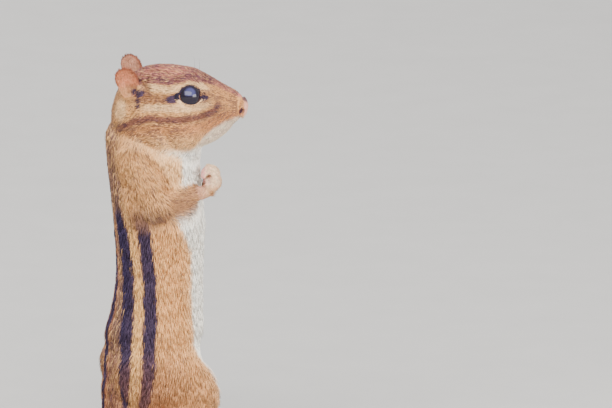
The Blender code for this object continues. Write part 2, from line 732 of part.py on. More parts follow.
    looks = {name: material(name) for name in COLOURS}
    for label, obj in pieces.items():
        for kind, triangles in KEEP.items():
            if label.startswith(kind):
                thinned(obj, triangles)
        twisted(obj)
        kind = (
            "claw" if label.startswith("claw")
            else "eye" if label.startswith("eye")
            else "ear_skin" if label.startswith("ear")
            else "nose_skin" if label == "nose"
            else "paw_skin" if "paw" in label or "foot" in label
            else "tail_fur" if label.startswith("tail")
            else "tan_fur"
        )
        obj.data.materials.clear()
        obj.data.materials.append(looks[kind])
        obj.data.shade_smooth()
        work.objects.unlink(obj)
        nodes.objects.link(obj)
        obj.name = label

    for helper in list(work.objects):
        bpy.data.objects.remove(helper)
    bpy.data.collections.remove(work)

    low = np.min([c.co for o in nodes.objects for c in o.data.vertices], axis=0)
    high = np.max([c.co for o in nodes.objects for c in o.data.vertices], axis=0)
    shift = Matrix.Translation((-(low[0] + high[0]) / 2, -(low[1] + high[1]) / 2, -low[2]))
    for obj in nodes.objects:
        obj.data.transform(shift)


main()
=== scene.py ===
import json
import math

import bmesh
import bpy
import numpy as np
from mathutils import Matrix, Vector
from mathutils.bvhtree import BVHTree
from mathutils.kdtree import KDTree

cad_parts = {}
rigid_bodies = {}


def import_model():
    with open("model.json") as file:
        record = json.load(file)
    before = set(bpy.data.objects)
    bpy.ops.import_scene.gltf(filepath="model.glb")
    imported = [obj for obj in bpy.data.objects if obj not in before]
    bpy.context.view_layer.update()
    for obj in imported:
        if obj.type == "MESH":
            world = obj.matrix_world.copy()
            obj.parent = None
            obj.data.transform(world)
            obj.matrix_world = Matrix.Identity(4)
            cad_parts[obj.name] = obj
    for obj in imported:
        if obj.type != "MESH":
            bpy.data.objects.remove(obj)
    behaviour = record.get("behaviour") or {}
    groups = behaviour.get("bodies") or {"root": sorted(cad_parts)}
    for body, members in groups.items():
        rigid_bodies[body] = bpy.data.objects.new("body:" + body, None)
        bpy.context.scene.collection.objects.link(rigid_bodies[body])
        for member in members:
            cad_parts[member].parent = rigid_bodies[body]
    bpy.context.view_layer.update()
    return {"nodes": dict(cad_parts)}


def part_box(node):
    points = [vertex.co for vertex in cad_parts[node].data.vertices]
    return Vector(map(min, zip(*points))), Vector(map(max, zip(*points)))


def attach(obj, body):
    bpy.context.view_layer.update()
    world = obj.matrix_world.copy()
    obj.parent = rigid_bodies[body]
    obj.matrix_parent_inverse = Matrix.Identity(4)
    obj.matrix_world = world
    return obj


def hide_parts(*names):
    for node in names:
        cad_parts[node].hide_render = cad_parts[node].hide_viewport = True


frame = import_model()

sides = {"right": -1, "left": 1}
mm = 0.001

# The body turns a little as it rises: the hips face away from the viewer and the head back.
stance = {
    "eyeCentre": (13.0, 8.6, 134.9),
    "hipTurn": 13.0,
    "headTurn": -3.0,
    "turnFrom": 36.0,
    "turnTo": 118.0,
}


def smoothStep(low, high, value):
    t = np.clip((value - low) / (high - low), 0, 1)
    return t * t * (3 - 2 * t)


def turnAt(z):
    share = smoothStep(stance["turnFrom"], stance["turnTo"], z)
    return np.radians(stance["hipTurn"] + (stance["headTurn"] - stance["hipTurn"]) * share)


def turned(points, angle):
    cos, sin = np.cos(angle), np.sin(angle)
    x, y, z = points.T
    return np.stack((x * cos - y * sin, x * sin + y * cos, z), axis=1)


# Local places are in millimetres and straightened: nose to +X, left side +Y, spine on the line between.
eyeLow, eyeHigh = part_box("eye_right")
eyeX, eyeY, eyeZ = stance["eyeCentre"]
eyeTurned = turned(np.array([[eyeX, -eyeY, eyeZ]]), turnAt(np.array([eyeZ])))[0]
shift = np.array((eyeLow + eyeHigh) / 2) - eyeTurned * mm


def toLocal(points):
    p = (np.asarray(points, float).reshape(-1, 3) - shift) / mm
    return turned(p, -turnAt(p[:, 2]))


def toWorld(points):
    p = np.asarray(points, float).reshape(-1, 3)
    return turned(p, turnAt(p[:, 2])) * mm + shift


def mirrored(point, sign):
    return (point[0], point[1] * sign, point[2])


def unit(vector):
    return np.array(vector, float) / np.linalg.norm(vector)


def unitRows(rows):
    return rows / np.linalg.norm(rows, axis=1)[:, None]


# sRGB hex to the shader's own numbers
def linear(code):
    parts = np.array([int(code[i : i + 2], 16) for i in (0, 2, 4)]) / 255
    return np.where(parts <= 0.04045, parts / 12.92, ((parts + 0.055) / 1.055) ** 2.4)


def newObject(name, mesh):
    obj = bpy.data.objects.new(name, mesh)
    bpy.context.scene.collection.objects.link(obj)
    return obj


# A copy of the named solids, each merged into a closed mesh, as one new object.
def nodeCopy(name, nodes, grow=0.0):
    bm = bmesh.new()
    for node in nodes:
        bm.from_mesh(frame["nodes"][node].data)
    bmesh.ops.remove_doubles(bm, verts=bm.verts, dist=1e-6)
    bm.normal_update()
    for v in bm.verts:
        v.co += v.normal * grow
    mesh = bpy.data.meshes.new(name)
    bm.to_mesh(mesh)
    bm.free()
    mesh.materials.clear()
    return newObject(name, mesh)


# Adds the modifiers, keeps the result as a plain mesh and leaves none behind.
def withModifiers(obj, *stack):
    for kind, values in stack:
        modifier = obj.modifiers.new(kind.lower(), kind)
        for key, value in values.items():
            setattr(modifier, key, value)
    graph = bpy.context.evaluated_depsgraph_get()
    mesh = bpy.data.meshes.new_from_object(obj.evaluated_get(graph))
    obj.modifiers.clear()
    old, obj.data = obj.data, mesh
    name = old.name
    bpy.data.meshes.remove(old)
    mesh.name = name
    return obj


def remeshed(obj, voxel, rounds):
    return withModifiers(
        obj,
        ("REMESH", {"mode": "VOXEL", "voxel_size": voxel * mm, "adaptivity": 0.0}),
        ("SMOOTH", {"factor": 0.5, "iterations": rounds}),
    )


def smoothShade(mesh):
    mesh.polygons.foreach_set("use_smooth", np.ones(len(mesh.polygons), bool))
    mesh.update()


def meshFrom(name, verts, faces):
    mesh = bpy.data.meshes.new(name)
    mesh.from_pydata([tuple(v) for v in verts], [], faces)
    bm = bmesh.new()
    bm.from_mesh(mesh)
    bmesh.ops.recalc_face_normals(bm, faces=bm.faces)
    bm.to_mesh(mesh)
    bm.free()
    smoothShade(mesh)
    return mesh


def formed(name, verts, faces):
    return newObject(name, meshFrom(name, verts, faces))


# The faces between two rings of points, told by their first points, and the two that close a tube.
def bandFaces(a, b, count):
    return [(a + j, a + (j + 1) % count, b + (j + 1) % count, b + j) for j in range(count)]


def capFaces(first, last, count):
    return [tuple(range(first, first + count))[::-1], tuple(range(last, last + count))]


def positions(mesh):
    co = np.empty(len(mesh.vertices) * 3, np.float32)
    mesh.vertices.foreach_get("co", co)
    return co.reshape(-1, 3).astype(float)


def moveVertices(mesh, points):
    mesh.vertices.foreach_set("co", np.asarray(points, np.float32).ravel())
    mesh.update()


def vertexNormals(mesh):
    normals = np.empty(len(mesh.vertices) * 3, np.float32)
    mesh.vertex_normals.foreach_get("vector", normals)
    return normals.reshape(-1, 3).astype(float)


def storeAttribute(mesh, name, kind, values):
    old = mesh.attributes.get(name)
    if old:
        mesh.attributes.remove(old)
    attribute = mesh.attributes.new(name, kind, "POINT")
    key = {"FLOAT": "value", "FLOAT_VECTOR": "vector", "FLOAT_COLOR": "color"}[kind]
    values = np.asarray(values, np.float32)
    if kind == "FLOAT_COLOR":
        values = np.hstack((np.clip(values, 0, 1), np.ones((len(values), 1), np.float32)))
    attribute.data.foreach_set(key, values.ravel())


# Gives a piece its colour at each point, and its finish.
def dress(obj, tint, finish):
    storeAttribute(obj.data, "coatColour", "FLOAT_COLOR", tint)
    obj.data.materials.append(finish)


# Averages a value over the edges of a mesh, the given number of rounds.
def smoothedOver(mesh, values, rounds):
    edges = np.empty(len(mesh.edges) * 2, np.int32)
    mesh.edges.foreach_get("vertices", edges)
    a, b = edges.reshape(-1, 2).T
    count = len(mesh.vertices)
    degree = np.maximum(1, np.bincount(np.concatenate((a, b)), minlength=count))
    flat = values.ndim == 1
    values = values[:, None] if flat else values
    for _ in range(rounds):
        near = [np.bincount(a, column[b], count) + np.bincount(b, column[a], count) for column in values.T]
        values = 0.5 * values + 0.5 * np.stack(near, axis=1) / degree[:, None]
    return values[:, 0] if flat else values


def finderFor(points):
    tree = KDTree(len(points))
    for index, point in enumerate(points):
        tree.insert(point, index)
    tree.balance()
    return lambda places: np.array([tree.find(p)[1] for p in places])


noiseTable = np.random.default_rng(5).random(4096)


# Smooth noise from 0 to 1, one lump to a unit.
def valueNoise(*axes):
    p = np.stack(axes, axis=1)
    cell = np.floor(p).astype(np.int64)
    part = p - cell
    part = part * part * (3 - 2 * part)
    total = np.zeros(len(p))
    for corner in range(8):
        step = np.array([corner & 1, corner >> 1 & 1, corner >> 2 & 1])
        x, y, z = (cell + step).T
        weight = np.prod(np.where(step, part, 1 - part), axis=1)
        total += weight * noiseTable[(x * 73856093 ^ y * 19349663 ^ z * 83492791) & 4095]
    return total


print("stage: frame loaded, straightened frame at", [round(float(v) / mm, 2) for v in shift])

# Markings: where each colour of the coat lies. Angles run from the belly's midline (0) to the spine (180).
trunkLine = {
    "z": (7.5, 12, 18.4, 26, 36, 46.4, 56.3, 67.4, 76.6, 87.6, 98, 107.8, 116, 121.5, 126.5),
    "x": (-7, -6.6, -5.5, -4, -1.8, -0.5, 0.8, 1.6, 1.7, 1.5, 0.5, -0.2, -0.5, -2.6, -4.5),
}
stripes = {
    "z": (28, 40, 46, 53, 60, 67, 75, 83, 88, 92, 97),
    "buff": (115, 118, 120.4, 122.2, 123.3, 125, 128, 129.8, 132, 135, 139),
    "inner": (126, 129.5, 134.5, 137.8, 139.6, 142, 143.5, 146.4, 148, 150, 152),
    "innerHalf": (5.5, 6.4, 8.8, 9.9, 10.5, 10.3, 10.8, 11.5, 10, 7, 5),
    "outer": (102, 104.4, 106.5, 107.5, 108.9, 109.6, 110.5, 111.3, 113, 116, 121),
    "outerHalf": (6, 6.8, 7.5, 7.9, 8.9, 8.7, 9.8, 9.5, 9, 8, 7),
    "whiteZ": (10, 20, 30, 45, 60, 78, 86, 91, 95, 100, 106, 112, 120),
    "white": (28, 32, 36, 49, 51, 46, 56, 66, 64, 52, 46, 44, 38),
}
face = {
    "crownX": (-16, -8, -0.8, 6.4, 13.5, 18, 22, 27, 31),
    "crownZ": (135, 138, 139.6, 139.0, 140.4, 139.2, 138.0, 135.4, 133.2),
    "browX": (-7, -1.5, 6.4, 10, 13.5, 17, 20.5),
    "browZ": (138.0, 138.2, 137.4, 138.2, 139.3, 138.6, 136.6),
    "browHalf": (1.3, 1.3, 1.2, 0.9, 0.75, 0.75, 0.6),
    "eyeLineX": (-7, -0.6, 3, 6.5, 9, 17, 20.5),
    "eyeLineZ": (134.8, 134.4, 134.2, 134.2, 134.4, 134.2, 134.0),
    "underX": (-7, -2.4, 3, 8.3, 13.6, 18.8, 21.5),
    "underZ": (130.6, 131.0, 131.4, 131.0, 131.0, 131.8, 133.0),
    "cheekX": (-14, -10.8, -5, -0.6, 5, 11.9, 17.1, 21.3, 24.5),
    "cheekZ": (121.5, 123.8, 126.6, 127.4, 127.0, 127.0, 127.7, 129.1, 130.4),
    "chinX": (8, 14.4, 18, 21.6, 26.3, 29.5),
    "chinZ": (111.5, 115.6, 119.3, 122.3, 124.9, 126.0),
    "mouthX": (20.9, 21.4, 24.5, 26.9, 29.1, 30.4),
    "mouthZ": (119.2, 119.6, 120.4, 122.1, 124.3, 125.8),
}
# Round marks of the face: colour, strength, centre and reach in x and z, where the edge fades,
# and how far out to the side the mark starts.
faceMarks = (
    ("crownDark", 0.7, (23.3, 131.3), (1.0, 1.0), (1.9, 0.6), (2, 4)),
    ("dark", 0.9, (7.6, 134.3), (2.3, 1.4), (1.2, 0.8), (4, 6)),
    ("dark", 0.9, (18.2, 134.2), (1.9, 1.0), (1.2, 0.8), (4, 6)),
    ("cream", 0.9, (-11.2, 130.0), (2.4, 3.6), (1.3, 0.7), (5, 8)),
    ("brown", 0.8, (-2.2, 137.2), (2.2, 3.2), (1.2, 0.6), (5, 8)),
)
coatHex = {
    "tan": "ebb072",
    "golden": "f7c78e",
    "orange": "db905c",
    "white": "fef7ec",
    "cream": "fbcd97",
    "buff": "f4bf7c",
    "dark": "352c50",
    "grizzled": "94705f",
    "red": "b07556",
    "crown": "d18573",
    "crownDark": "67404c",
    "arm": "ce9c6e",
    "brown": "a5704e",
    "cheek": "814c48",
    "paw": "f3d0ac",
    "pad": "cf8f90",
    "foot": "d9b188",
    "ear": "cf8560",
    "earRim": "8f4c38",
    "earBack": "be8468",
    "nose": "c08660",
    "nosePink": "d89e8c",
    "nostril": "3c2233",
    "lidRim": "241c30",
}
coatColours = {name: linear(code) for name, code in coatHex.items()}
coatColours["creamWhite"] = coatColours["cream"] * 0.45 + coatColours["white"] * 0.55
coatColours["elbowShade"] = (coatColours["dark"] + coatColours["brown"]) * 0.4
coatColours["shank"] = coatColours["red"] * 0.5 + coatColours["tan"] * 0.5
coatColours["tailTop"] = coatColours["grizzled"] * 0.7


def blended(colour, other, share):
    return colour * (1 - share[:, None]) + other * share[:, None]


# Lays the named colours over one another, each with its share at every place.
def painted(base, count, *layers):
    colour = np.tile(coatColours[base], (count, 1))
    for name, share in layers:
        colour = blended(colour, coatColours[name], share)
    return colour


def bandAt(value, centre, half, soft):
    return 1 - smoothStep(half - soft, half + soft, np.abs(value - centre))


# The height of one of the face's lines at each x.
def faceLine(name, x):
    return np.interp(x, face[name + "X"], face[name + "Z"])


def spineDistance(p):
    return p[:, 0] - np.interp(p[:, 2], trunkLine["z"], trunkLine["x"])


def flankAngle(p):
    return np.degrees(np.arctan2(np.abs(p[:, 1]), spineDistance(p)))


def trunkColour(p):
    z, theta = p[:, 2], flankAngle(p)
    low = smoothStep(52, 24, z)
    back = smoothStep(130, 148, theta) * (1 - 0.35 * smoothStep(100, 120, z))
    white = np.interp(z, stripes["whiteZ"], stripes["white"])
    shown = smoothStep(99, 90, z) * smoothStep(12, 24, z)
    fading = smoothStep(93, 85, z)

    def stripe(name, half):
        return bandAt(theta, np.interp(z, stripes["z"], stripes[name]), half, 1.3)

    halves = {name: np.interp(z, stripes["z"], stripes[name + "Half"]) for name in ("outer", "inner")}
    outer, inner = (stripe(name, half) for name, half in halves.items())
    ridge = smoothStep(168.5, 172.5, theta) * smoothStep(120, 100, z)
    elbow = bandAt(z, 90.5, 3.4, 2.2) * bandAt(theta, 112, 24, 9)
    return painted(
        "tan",
        len(p),
        ("golden", 0.95 * smoothStep(94, 108, z) * smoothStep(135, 95, theta)),
        ("cream", 0.5 * smoothStep(108, 116, z) * smoothStep(115, 80, theta)),
        ("red", 0.5 * low * smoothStep(50, 90, theta)),
        ("grizzled", 0.14 * smoothStep(88, 100, z) * smoothStep(60, 120, theta)),
        ("grizzled", back),
        ("red", 0.6 * back * low),
        ("cream", 0.6 * smoothStep(white + 16, white, theta)),
        ("white", smoothStep(white + 3.5, white - 3.5, theta)),
        ("orange", 0.5 * shown * bandAt(theta, 167, 4, 2)),
        ("buff", shown * stripe("buff", 5.4)),
        ("dark", 0.96 * shown * np.maximum(inner, outer * (0.35 + 0.65 * fading))),
        ("dark", 0.9 * ridge),
        ("elbowShade", 0.6 * elbow),
    )


def headColour(p):
    x, y, z = p.T
    y = np.abs(y)
    cheek, chin, crown = (faceLine(name, x) for name in ("cheek", "chin", "crown"))
    rear = smoothStep(22, 19, x)
    under = bandAt(z, faceLine("under", x), 1.4, 0.5) * rear * smoothStep(-5, -1, x)
    line = bandAt(z, faceLine("eyeLine", x), 1.6, 0.7) * rear * smoothStep(-10, -4, x)
    browHalf = np.interp(x, face["browX"], face["browHalf"])
    brow = bandAt(z, faceLine("brow", x), browHalf, 0.35) * smoothStep(21, 19, x)
    edge = bandAt(z, crown + 1.0, 1.0, 0.6) * smoothStep(24, 18, x)
    ridge = smoothStep(4.0, 1.5, y) * smoothStep(crown + 0.5, crown + 1.5, z) * smoothStep(-12, -6, x)
    stripe = bandAt(z, cheek, 1.25, 0.6) * smoothStep(25, 22, x) * smoothStep(-15, -10, x)
    marks = []
    for name, strength, centre, reach, fade, outFrom in faceMarks:
        spot = np.hypot((x - centre[0]) / reach[0], (z - centre[1]) / reach[1])
        marks.append((name, strength * smoothStep(*fade, spot) * smoothStep(*outFrom, y)))
    # painted shade: the dark notch under the ear and the dark of its canal
    notch = bandAt(x, -4.7, 0.75, 0.3) * bandAt(z, 133.2, 2.5, 0.5)
    canal = smoothStep(1.2, 0.7, np.hypot((x + 4.6) / 2.6, (z - 136.2) / 1.2))
    mouth = bandAt(z, faceLine("mouth", x), 0.30, 0.2) * smoothStep(20.5, 21.5, x)
    return painted(
        "tan",
        len(p),
        ("orange", 0.6 * smoothStep(cheek - 0.8, cheek - 3.0, z) * smoothStep(115, 124, z)),
        ("golden", 0.85 * smoothStep(124, 115.5, z)),
        ("orange", 0.35 * smoothStep(17, 24, x)),
        ("creamWhite", smoothStep(chin + 1.3, chin - 0.5, z) * smoothStep(4, 9, x)),
        ("white", smoothStep(117, 113.5, z) * smoothStep(-2, 8, x)),
        ("cream", 0.95 * under),
        ("brown", 0.75 * line),
        ("cream", 0.95 * brow * smoothStep(-6, -2, x)),
        ("crown", smoothStep(crown - 0.5, crown + 0.5, z)),
        ("crownDark", 0.65 * edge),
        ("crownDark", 0.5 * ridge),
        ("cheek", 0.85 * stripe),
        *marks,
        ("dark", 0.9 * np.maximum(notch, canal) * smoothStep(5, 8, y)),
        ("grizzled", 0.6 * smoothStep(-8, -14, x) * smoothStep(9, 4, y)),
        # painted shade along the line of the mouth
        ("cheek", 0.35 * mouth),
    )


# The coat's colour at local places, mixed over the parts of the body.
def coatColour(p, part):
    x, y, z = p.T
    trunk = trunkColour(p)
    arm = painted(
        "arm",
        len(p),
        ("tan", 0.7 * smoothStep(92, 100, z) * smoothStep(16, 2, x)),
        # the dark under the elbow: its darker hair, and painted shadow under the arm
        ("dark", 0.55 * smoothStep(95.5, 91, z) * smoothStep(8, 2, x)),
        ("brown", 0.5 * smoothStep(98.5, 96.0, z - 0.32 * x) * smoothStep(3, 8, x)),
    )
    thigh = blended(trunk, coatColours["red"], 0.35 * smoothStep(50, 24, z) * smoothStep(4, 12, np.abs(y)))
    shank = painted("shank", len(p))
    layers = {"head": headColour(p), "trunk": trunk, "arm": arm, "thigh": thigh, "shank": shank}
    total = sum(part[key] for key in layers)
    return sum(layers[key] * part[key][:, None] for key in layers) / total[:, None]


# Ears: each is a shallow bowl, told from a point inside its rim. Places run forwards and up from it.
earForm = {
    "centre": (-9.0, 12.1, 139.4),
    "outPerForward": -0.397,
    "outPerUp": 0.156,
    "focus": (0.3, -0.2),
    "rim": (
        (-1.0, -4.8), (-2.7, -1.3), (-3.9, 2.0), (-3.5, 4.7), (-1.2, 6.2), (1.6, 5.5),
        (3.5, 3.1), (4.1, 0.2), (4.2, -1.8), (4.0, -3.9), (1.6, -5.3),
    ),
    "bowl": 2.2,
    "roll": 0.28,
    "canal": (2.7, -2.7, 1.6),
    "wall": 0.5,
    "rings": 15,
    "around": 80,
}


# Points on a smooth curve through the given ones, evenly spaced, with further columns carried along.
def curvePoints(points, count, closed=False):
    points = np.array(points, float)
    if closed:
        whole = np.vstack((points[-1], points, points[0], points[1]))
    else:
        whole = np.vstack((2 * points[0] - points[1], points, 2 * points[-1] - points[-2]))
    rows = []
    for i in range(len(whole) - 3):
        a, b, c, d = whole[i : i + 4]
        for t in np.linspace(0, 1, 24, endpoint=False):
            bend = (2 * a - 5 * b + 4 * c - d) * t**2 + (3 * b - a - 3 * c + d) * t**3
            rows.append(0.5 * (2 * b + (c - a) * t + bend))
    rows = np.array(rows + [whole[-2]])
    run = np.append(0, np.cumsum(np.linalg.norm(np.diff(rows[:, :3], axis=0), axis=1)))
    even = np.linspace(0, run[-1], count)
    return np.stack([np.interp(even, run, rows[:, i]) for i in range(rows.shape[1])], axis=1)


rimCurve = curvePoints(earForm["rim"], 240, closed=True) - np.array(earForm["focus"])
rimAngle = np.arctan2(rimCurve[:, 1], rimCurve[:, 0])
rimOrder = np.argsort(rimAngle)
rimAngle, rimReach = rimAngle[rimOrder], np.hypot(*rimCurve.T)[rimOrder]


# How far out a place lies in the ear's outline: 0 at the focus, 1 at the rim.
def earShare(a, h):
    a, h = a - earForm["focus"][0], h - earForm["focus"][1]
    return np.hypot(a, h) / np.interp(np.arctan2(h, a), rimAngle, rimReach, period=2 * math.pi)


def earSink(a, h, share):
    ca, ch, deep = earForm["canal"]
    sink = -earForm["bowl"] * (1 - np.minimum(1, share) ** 2.4)
    sink += earForm["roll"] * np.exp(-(((share - 0.95) / 0.05) ** 2))
    return sink - deep * np.exp(-((a - ca) ** 2 + (h - ch) ** 2) / 3.0)


def earPlane(a, h):
    tuck = 0.42 * np.maximum(0, -2 - h) ** 1.3 * smoothStep(3, -1, a)
    return earForm["centre"][1] + earForm["outPerForward"] * a + earForm["outPerUp"] * h - tuck


def earPlace(a, h, out, sign):
    facing = unit((-earForm["outPerForward"], 1.0, -earForm["outPerUp"]))
    flat = np.stack((earForm["centre"][0] + a, earPlane(a, h), earForm["centre"][2] + h), axis=1)
    return (flat + facing * out[:, None]) * (1, sign, 1)


# Skin: one closed form under the coat, from the solids of flesh.
skinForm = {
    "voxel": 0.60,
    "closeGap": 0.25,
    "smoothRounds": 6,
    "napeDepth": 0.025,
    "mouthGroove": 0.30,
    "depth": {
        "head": 0.40,
        "jaw": 0.35,
        "nose": 1.10,
        "neck": 1.10,
        "chest": 1.10,
        "belly": 1.15,
        "rump": 2.30,
        "upper_arm": 1.00,
        "forearm": 0.60,
        "thigh": 1.40,
        "shank": 0.90,
    },
    "farthestPull": 1.5,
    "underEar": 0.35,
    "eyeGroove": 0.9,
    "eyeReach": (5.8, 4.8),
    "waist": (43, 8, 5),
    "waistRounds": 150,
    "waistGrow": 0.045,
    "lowest": 0.2,
    "shade": 0.8,
}
flesh = ["head", "jaw", "neck", "chest", "belly", "rump"]
flesh += [f"{part}_{side}" for side in sides for part in ("upper_arm", "forearm", "thigh", "shank")]

corners, cornerFaces, faceNode = [], [], []
for node in flesh + ["nose"]:
    base = len(corners)
    mesh = frame["nodes"][node].data
    corners += [v.co.copy() for v in mesh.vertices]
    cornerFaces += [[i + base for i in p.vertices] for p in mesh.polygons]
    faceNode += [node.replace("_left", "").replace("_right", "")] * len(mesh.polygons)
solidTree = BVHTree.FromPolygons(corners, cornerFaces)

skin = nodeCopy("skin", flesh + ["nose"], grow=skinForm["closeGap"] * mm)
skin = remeshed(skin, skinForm["voxel"], skinForm["smoothRounds"])
points = positions(skin.data)
skinNodes = np.array([faceNode[solidTree.find_nearest(Vector(p))[2]] for p in points])
onHead = np.isin(skinNodes, ("head", "jaw", "nose"))
place = toLocal(points)
depth = np.array([skinForm["depth"][n] for n in skinNodes])
depth += np.where(onHead, np.maximum(0, 6 - place[:, 0]) * skinForm["napeDepth"], 0)
mouthBand = bandAt(place[:, 2], faceLine("mouth", place[:, 0]), 0.35, 0.3)
depth = smoothedOver(skin.data, depth, 8)
# how far the smoothed skin stands off the solids, which it is first drawn back to
standOff = []
for p in points:
    spot, facing = solidTree.find_nearest(Vector(p))[:2]
    standOff.append((Vector(p) - spot).dot(facing) / mm)
standOff = np.clip(standOff, -skinForm["farthestPull"], skinForm["farthestPull"])
depth += smoothedOver(skin.data, standOff, 6)
depth += skinForm["mouthGroove"] * mouthBand * smoothStep(20.5, 21.5, place[:, 0])
points = points - vertexNormals(skin.data) * (depth * mm)[:, None]
points = smoothedOver(skin.data, points, 2)

# The skin is pressed in under each ear's bowl, so that the bowl stands open.
place = toLocal(points)
forward, upward = place[:, 0] - earForm["centre"][0], place[:, 2] - earForm["centre"][2]
inEar = earShare(forward, upward)
nearEar = (np.abs(forward) < 8) & (np.abs(upward) < 9) & (np.abs(place[:, 1]) > 4)
inEar = np.where(nearEar, inEar, 9.0)
under = earPlane(forward, upward) + earSink(forward, upward, inEar) - earForm["wall"] - skinForm["underEar"]
pressed = np.minimum(np.abs(place[:, 1]), under)
blend = smoothStep(1.02, 0.86, inEar)
place[:, 1] = np.sign(place[:, 1]) * (np.abs(place[:, 1]) * (1 - blend) + pressed * blend)
# It also draws back round each eye, under the lids, and flows from the belly into the rump.
fromEye = place - np.stack((eyeX + 0 * forward, eyeY * np.sign(place[:, 1]), eyeZ + 0 * forward), axis=1)
reach = np.linalg.norm(fromEye, axis=1)
groove = skinForm["eyeGroove"] * smoothStep(*skinForm["eyeReach"], reach)
place -= fromEye / reach[:, None] * groove[:, None]
waist = bandAt(place[:, 2], *skinForm["waist"])
place = blended(place, smoothedOver(skin.data, place, skinForm["waistRounds"]), waist)
axisX = np.interp(place[:, 2], trunkLine["z"], trunkLine["x"])
place[:, 0] = axisX + (place[:, 0] - axisX) * (1 + skinForm["waistGrow"] * waist)
place[:, 1] *= 1 + skinForm["waistGrow"] * waist
points = toWorld(place)
points[:, 2] = np.maximum(points[:, 2], skinForm["lowest"] * mm)
moveVertices(skin.data, points)
smoothShade(skin.data)
place, skinNormal = toLocal(points), vertexNormals(skin.data)
nearestSkin = finderFor(points)
skinFaces = [tuple(p.vertices) for p in skin.data.polygons]
skinTree = BVHTree.FromPolygons([Vector(p) for p in points], skinFaces)
print("stage: skin formed,", len(points), "points")

partNames = {
    "head": ("head", "jaw", "nose"),
    "trunk": ("neck", "chest", "belly", "rump"),
    "arm": ("upper_arm", "forearm"),
    "thigh": ("thigh",),
    "shank": ("shank",),
}
parts = {key: np.isin(skinNodes, names).astype(float) for key, names in partNames.items()}
parts = {key: smoothedOver(skin.data, share, 8) for key, share in parts.items()}
storeAttribute(skin.data, "coatColour", "FLOAT_COLOR", coatColour(place, parts) * skinForm["shade"])

# The lie of the coat: back over the head, down the body and along the limbs.
lieOf = {
    "neck": (-0.12, 0, -1),
    "chest": (-0.05, 0, -1),
    "belly": (0, 0, -1),
    "rump": (-0.2, 0, -1),
    "upper_arm": (0.35, 0, -0.94),
    "forearm": (0.95, -0.3, 0.25),
    "thigh": (-0.15, 0, -1),
    "shank": (-0.45, 0, -0.9),
}
x, y, z = place.T
lie = np.array([lieOf.get(n, (-1, 0, 0)) for n in skinNodes], float)
lie[:, 1] *= np.sign(y)
flow = np.stack((-np.ones_like(x), y * 0.012, -0.05 - 0.75 * smoothStep(2, -13, x)), axis=1)
flow[:, 2] -= 0.45 * smoothStep(128, 116, z)
fromEye = np.stack((x - eyeX, np.abs(y) - eyeY, z - eyeZ), axis=1)
reach = np.linalg.norm(fromEye, axis=1)
swirl = fromEye / reach[:, None] * (0.9 * np.exp(-((reach / 6.5) ** 2)) * smoothStep(8, 18, x))[:, None]
swirl[:, 1] *= np.sign(y)
lie = np.where(onHead[:, None], flow + swirl, lie)
lie = smoothedOver(skin.data, lie, 40)


# Lays directions flat on a surface and gives them a length of one.
def laidFlat(directions, normals):
    flat = directions - normals * (directions * normals).sum(1)[:, None]
    return flat / np.maximum(1e-6, np.linalg.norm(flat, axis=1))[:, None]


lie = laidFlat(turned(lie, turnAt(z)), skinNormal)


# Shader groups shared by the coats and skins.
def shaderGroup(name, inputs, outputs):
    group = bpy.data.node_groups.new(name, "ShaderNodeTree")
    for label, kind, value in inputs:
        socket = group.interface.new_socket(label, in_out="INPUT", socket_type=kind)
        socket.default_value = value
    for label, kind in outputs:
        group.interface.new_socket(label, in_out="OUTPUT", socket_type=kind)
    return group, group.nodes.new("NodeGroupInput"), group.nodes.new("NodeGroupOutput")


# Feeds an input with another node's output or with a plain value.
def feed(tree, socket, value):
    if isinstance(value, bpy.types.NodeSocket):
        tree.links.new(value, socket)
    else:
        socket.default_value = value


def addNode(tree, kind, values=None, **settings):
    node = tree.nodes.new(kind)
    for key, value in settings.items():
        setattr(node, key, value)
    for key, value in (values or {}).items():
        feed(tree, node.inputs[key], value)
    return node


fleckGroup, fleckIn, fleckOut = shaderGroup(
    "fleckedSurface",
    [
        ("Colour", "NodeSocketColor", (0.5, 0.4, 0.3, 1)),
        ("Scale", "NodeSocketFloat", 900.0),
        ("Depth", "NodeSocketFloat", 0.3),
    ],
    [("Colour", "NodeSocketColor"), ("Height", "NodeSocketFloat")],
)
given, coords = fleckIn.outputs, addNode(fleckGroup, "ShaderNodeTexCoord")
noiseValues = {"Vector": coords.outputs["Object"], "Scale": given["Scale"], "Detail": 3.0, "Roughness": 0.6}
noise = addNode(fleckGroup, "ShaderNodeTexNoise", noiseValues)
spreadValues = {"Value": noise.outputs[0], "From Min": 0.3, "From Max": 0.7, "To Min": 0.55, "To Max": 1.3}
spread = addNode(fleckGroup, "ShaderNodeMapRange", spreadValues)
mixValues = {0: given["Depth"], 6: given["Colour"], 7: spread.outputs[0]}
shaded = addNode(fleckGroup, "ShaderNodeMix", data_type="RGBA", blend_type="MULTIPLY", values=mixValues)
feed(fleckGroup, fleckOut.inputs["Colour"], shaded.outputs[2])
feed(fleckGroup, fleckOut.inputs["Height"], noise.outputs[0])


# A material with flecked colour, from the pieces' own attribute or one colour, and a fine bump.
def fleckedMaterial(name, colour, scale, depth, bump, **values):
    material = bpy.data.materials.new(name)
    material.use_nodes = True
    tree = material.node_tree
    shader = tree.nodes["Principled BSDF"]
    for key, value in values.items():
        shader.inputs[key.replace("_", " ")].default_value = value
    if colour is None:
        source = addNode(tree, "ShaderNodeAttribute", attribute_name="coatColour").outputs["Color"]
    else:
        source = (*colour, 1)
    fleckValues = {"Colour": source, "Scale": scale, "Depth": depth}
    group = addNode(tree, "ShaderNodeGroup", fleckValues, node_tree=fleckGroup)
    feed(tree, shader.inputs["Base Color"], group.outputs["Colour"])
    if bump:
        bumpValues = {"Strength": 0.6, "Distance": bump * mm, "Height": group.outputs["Height"]}
        bumped = addNode(tree, "ShaderNodeBump", bumpValues)
        feed(tree, shader.inputs["Normal"], bumped.outputs["Normal"])
    return material


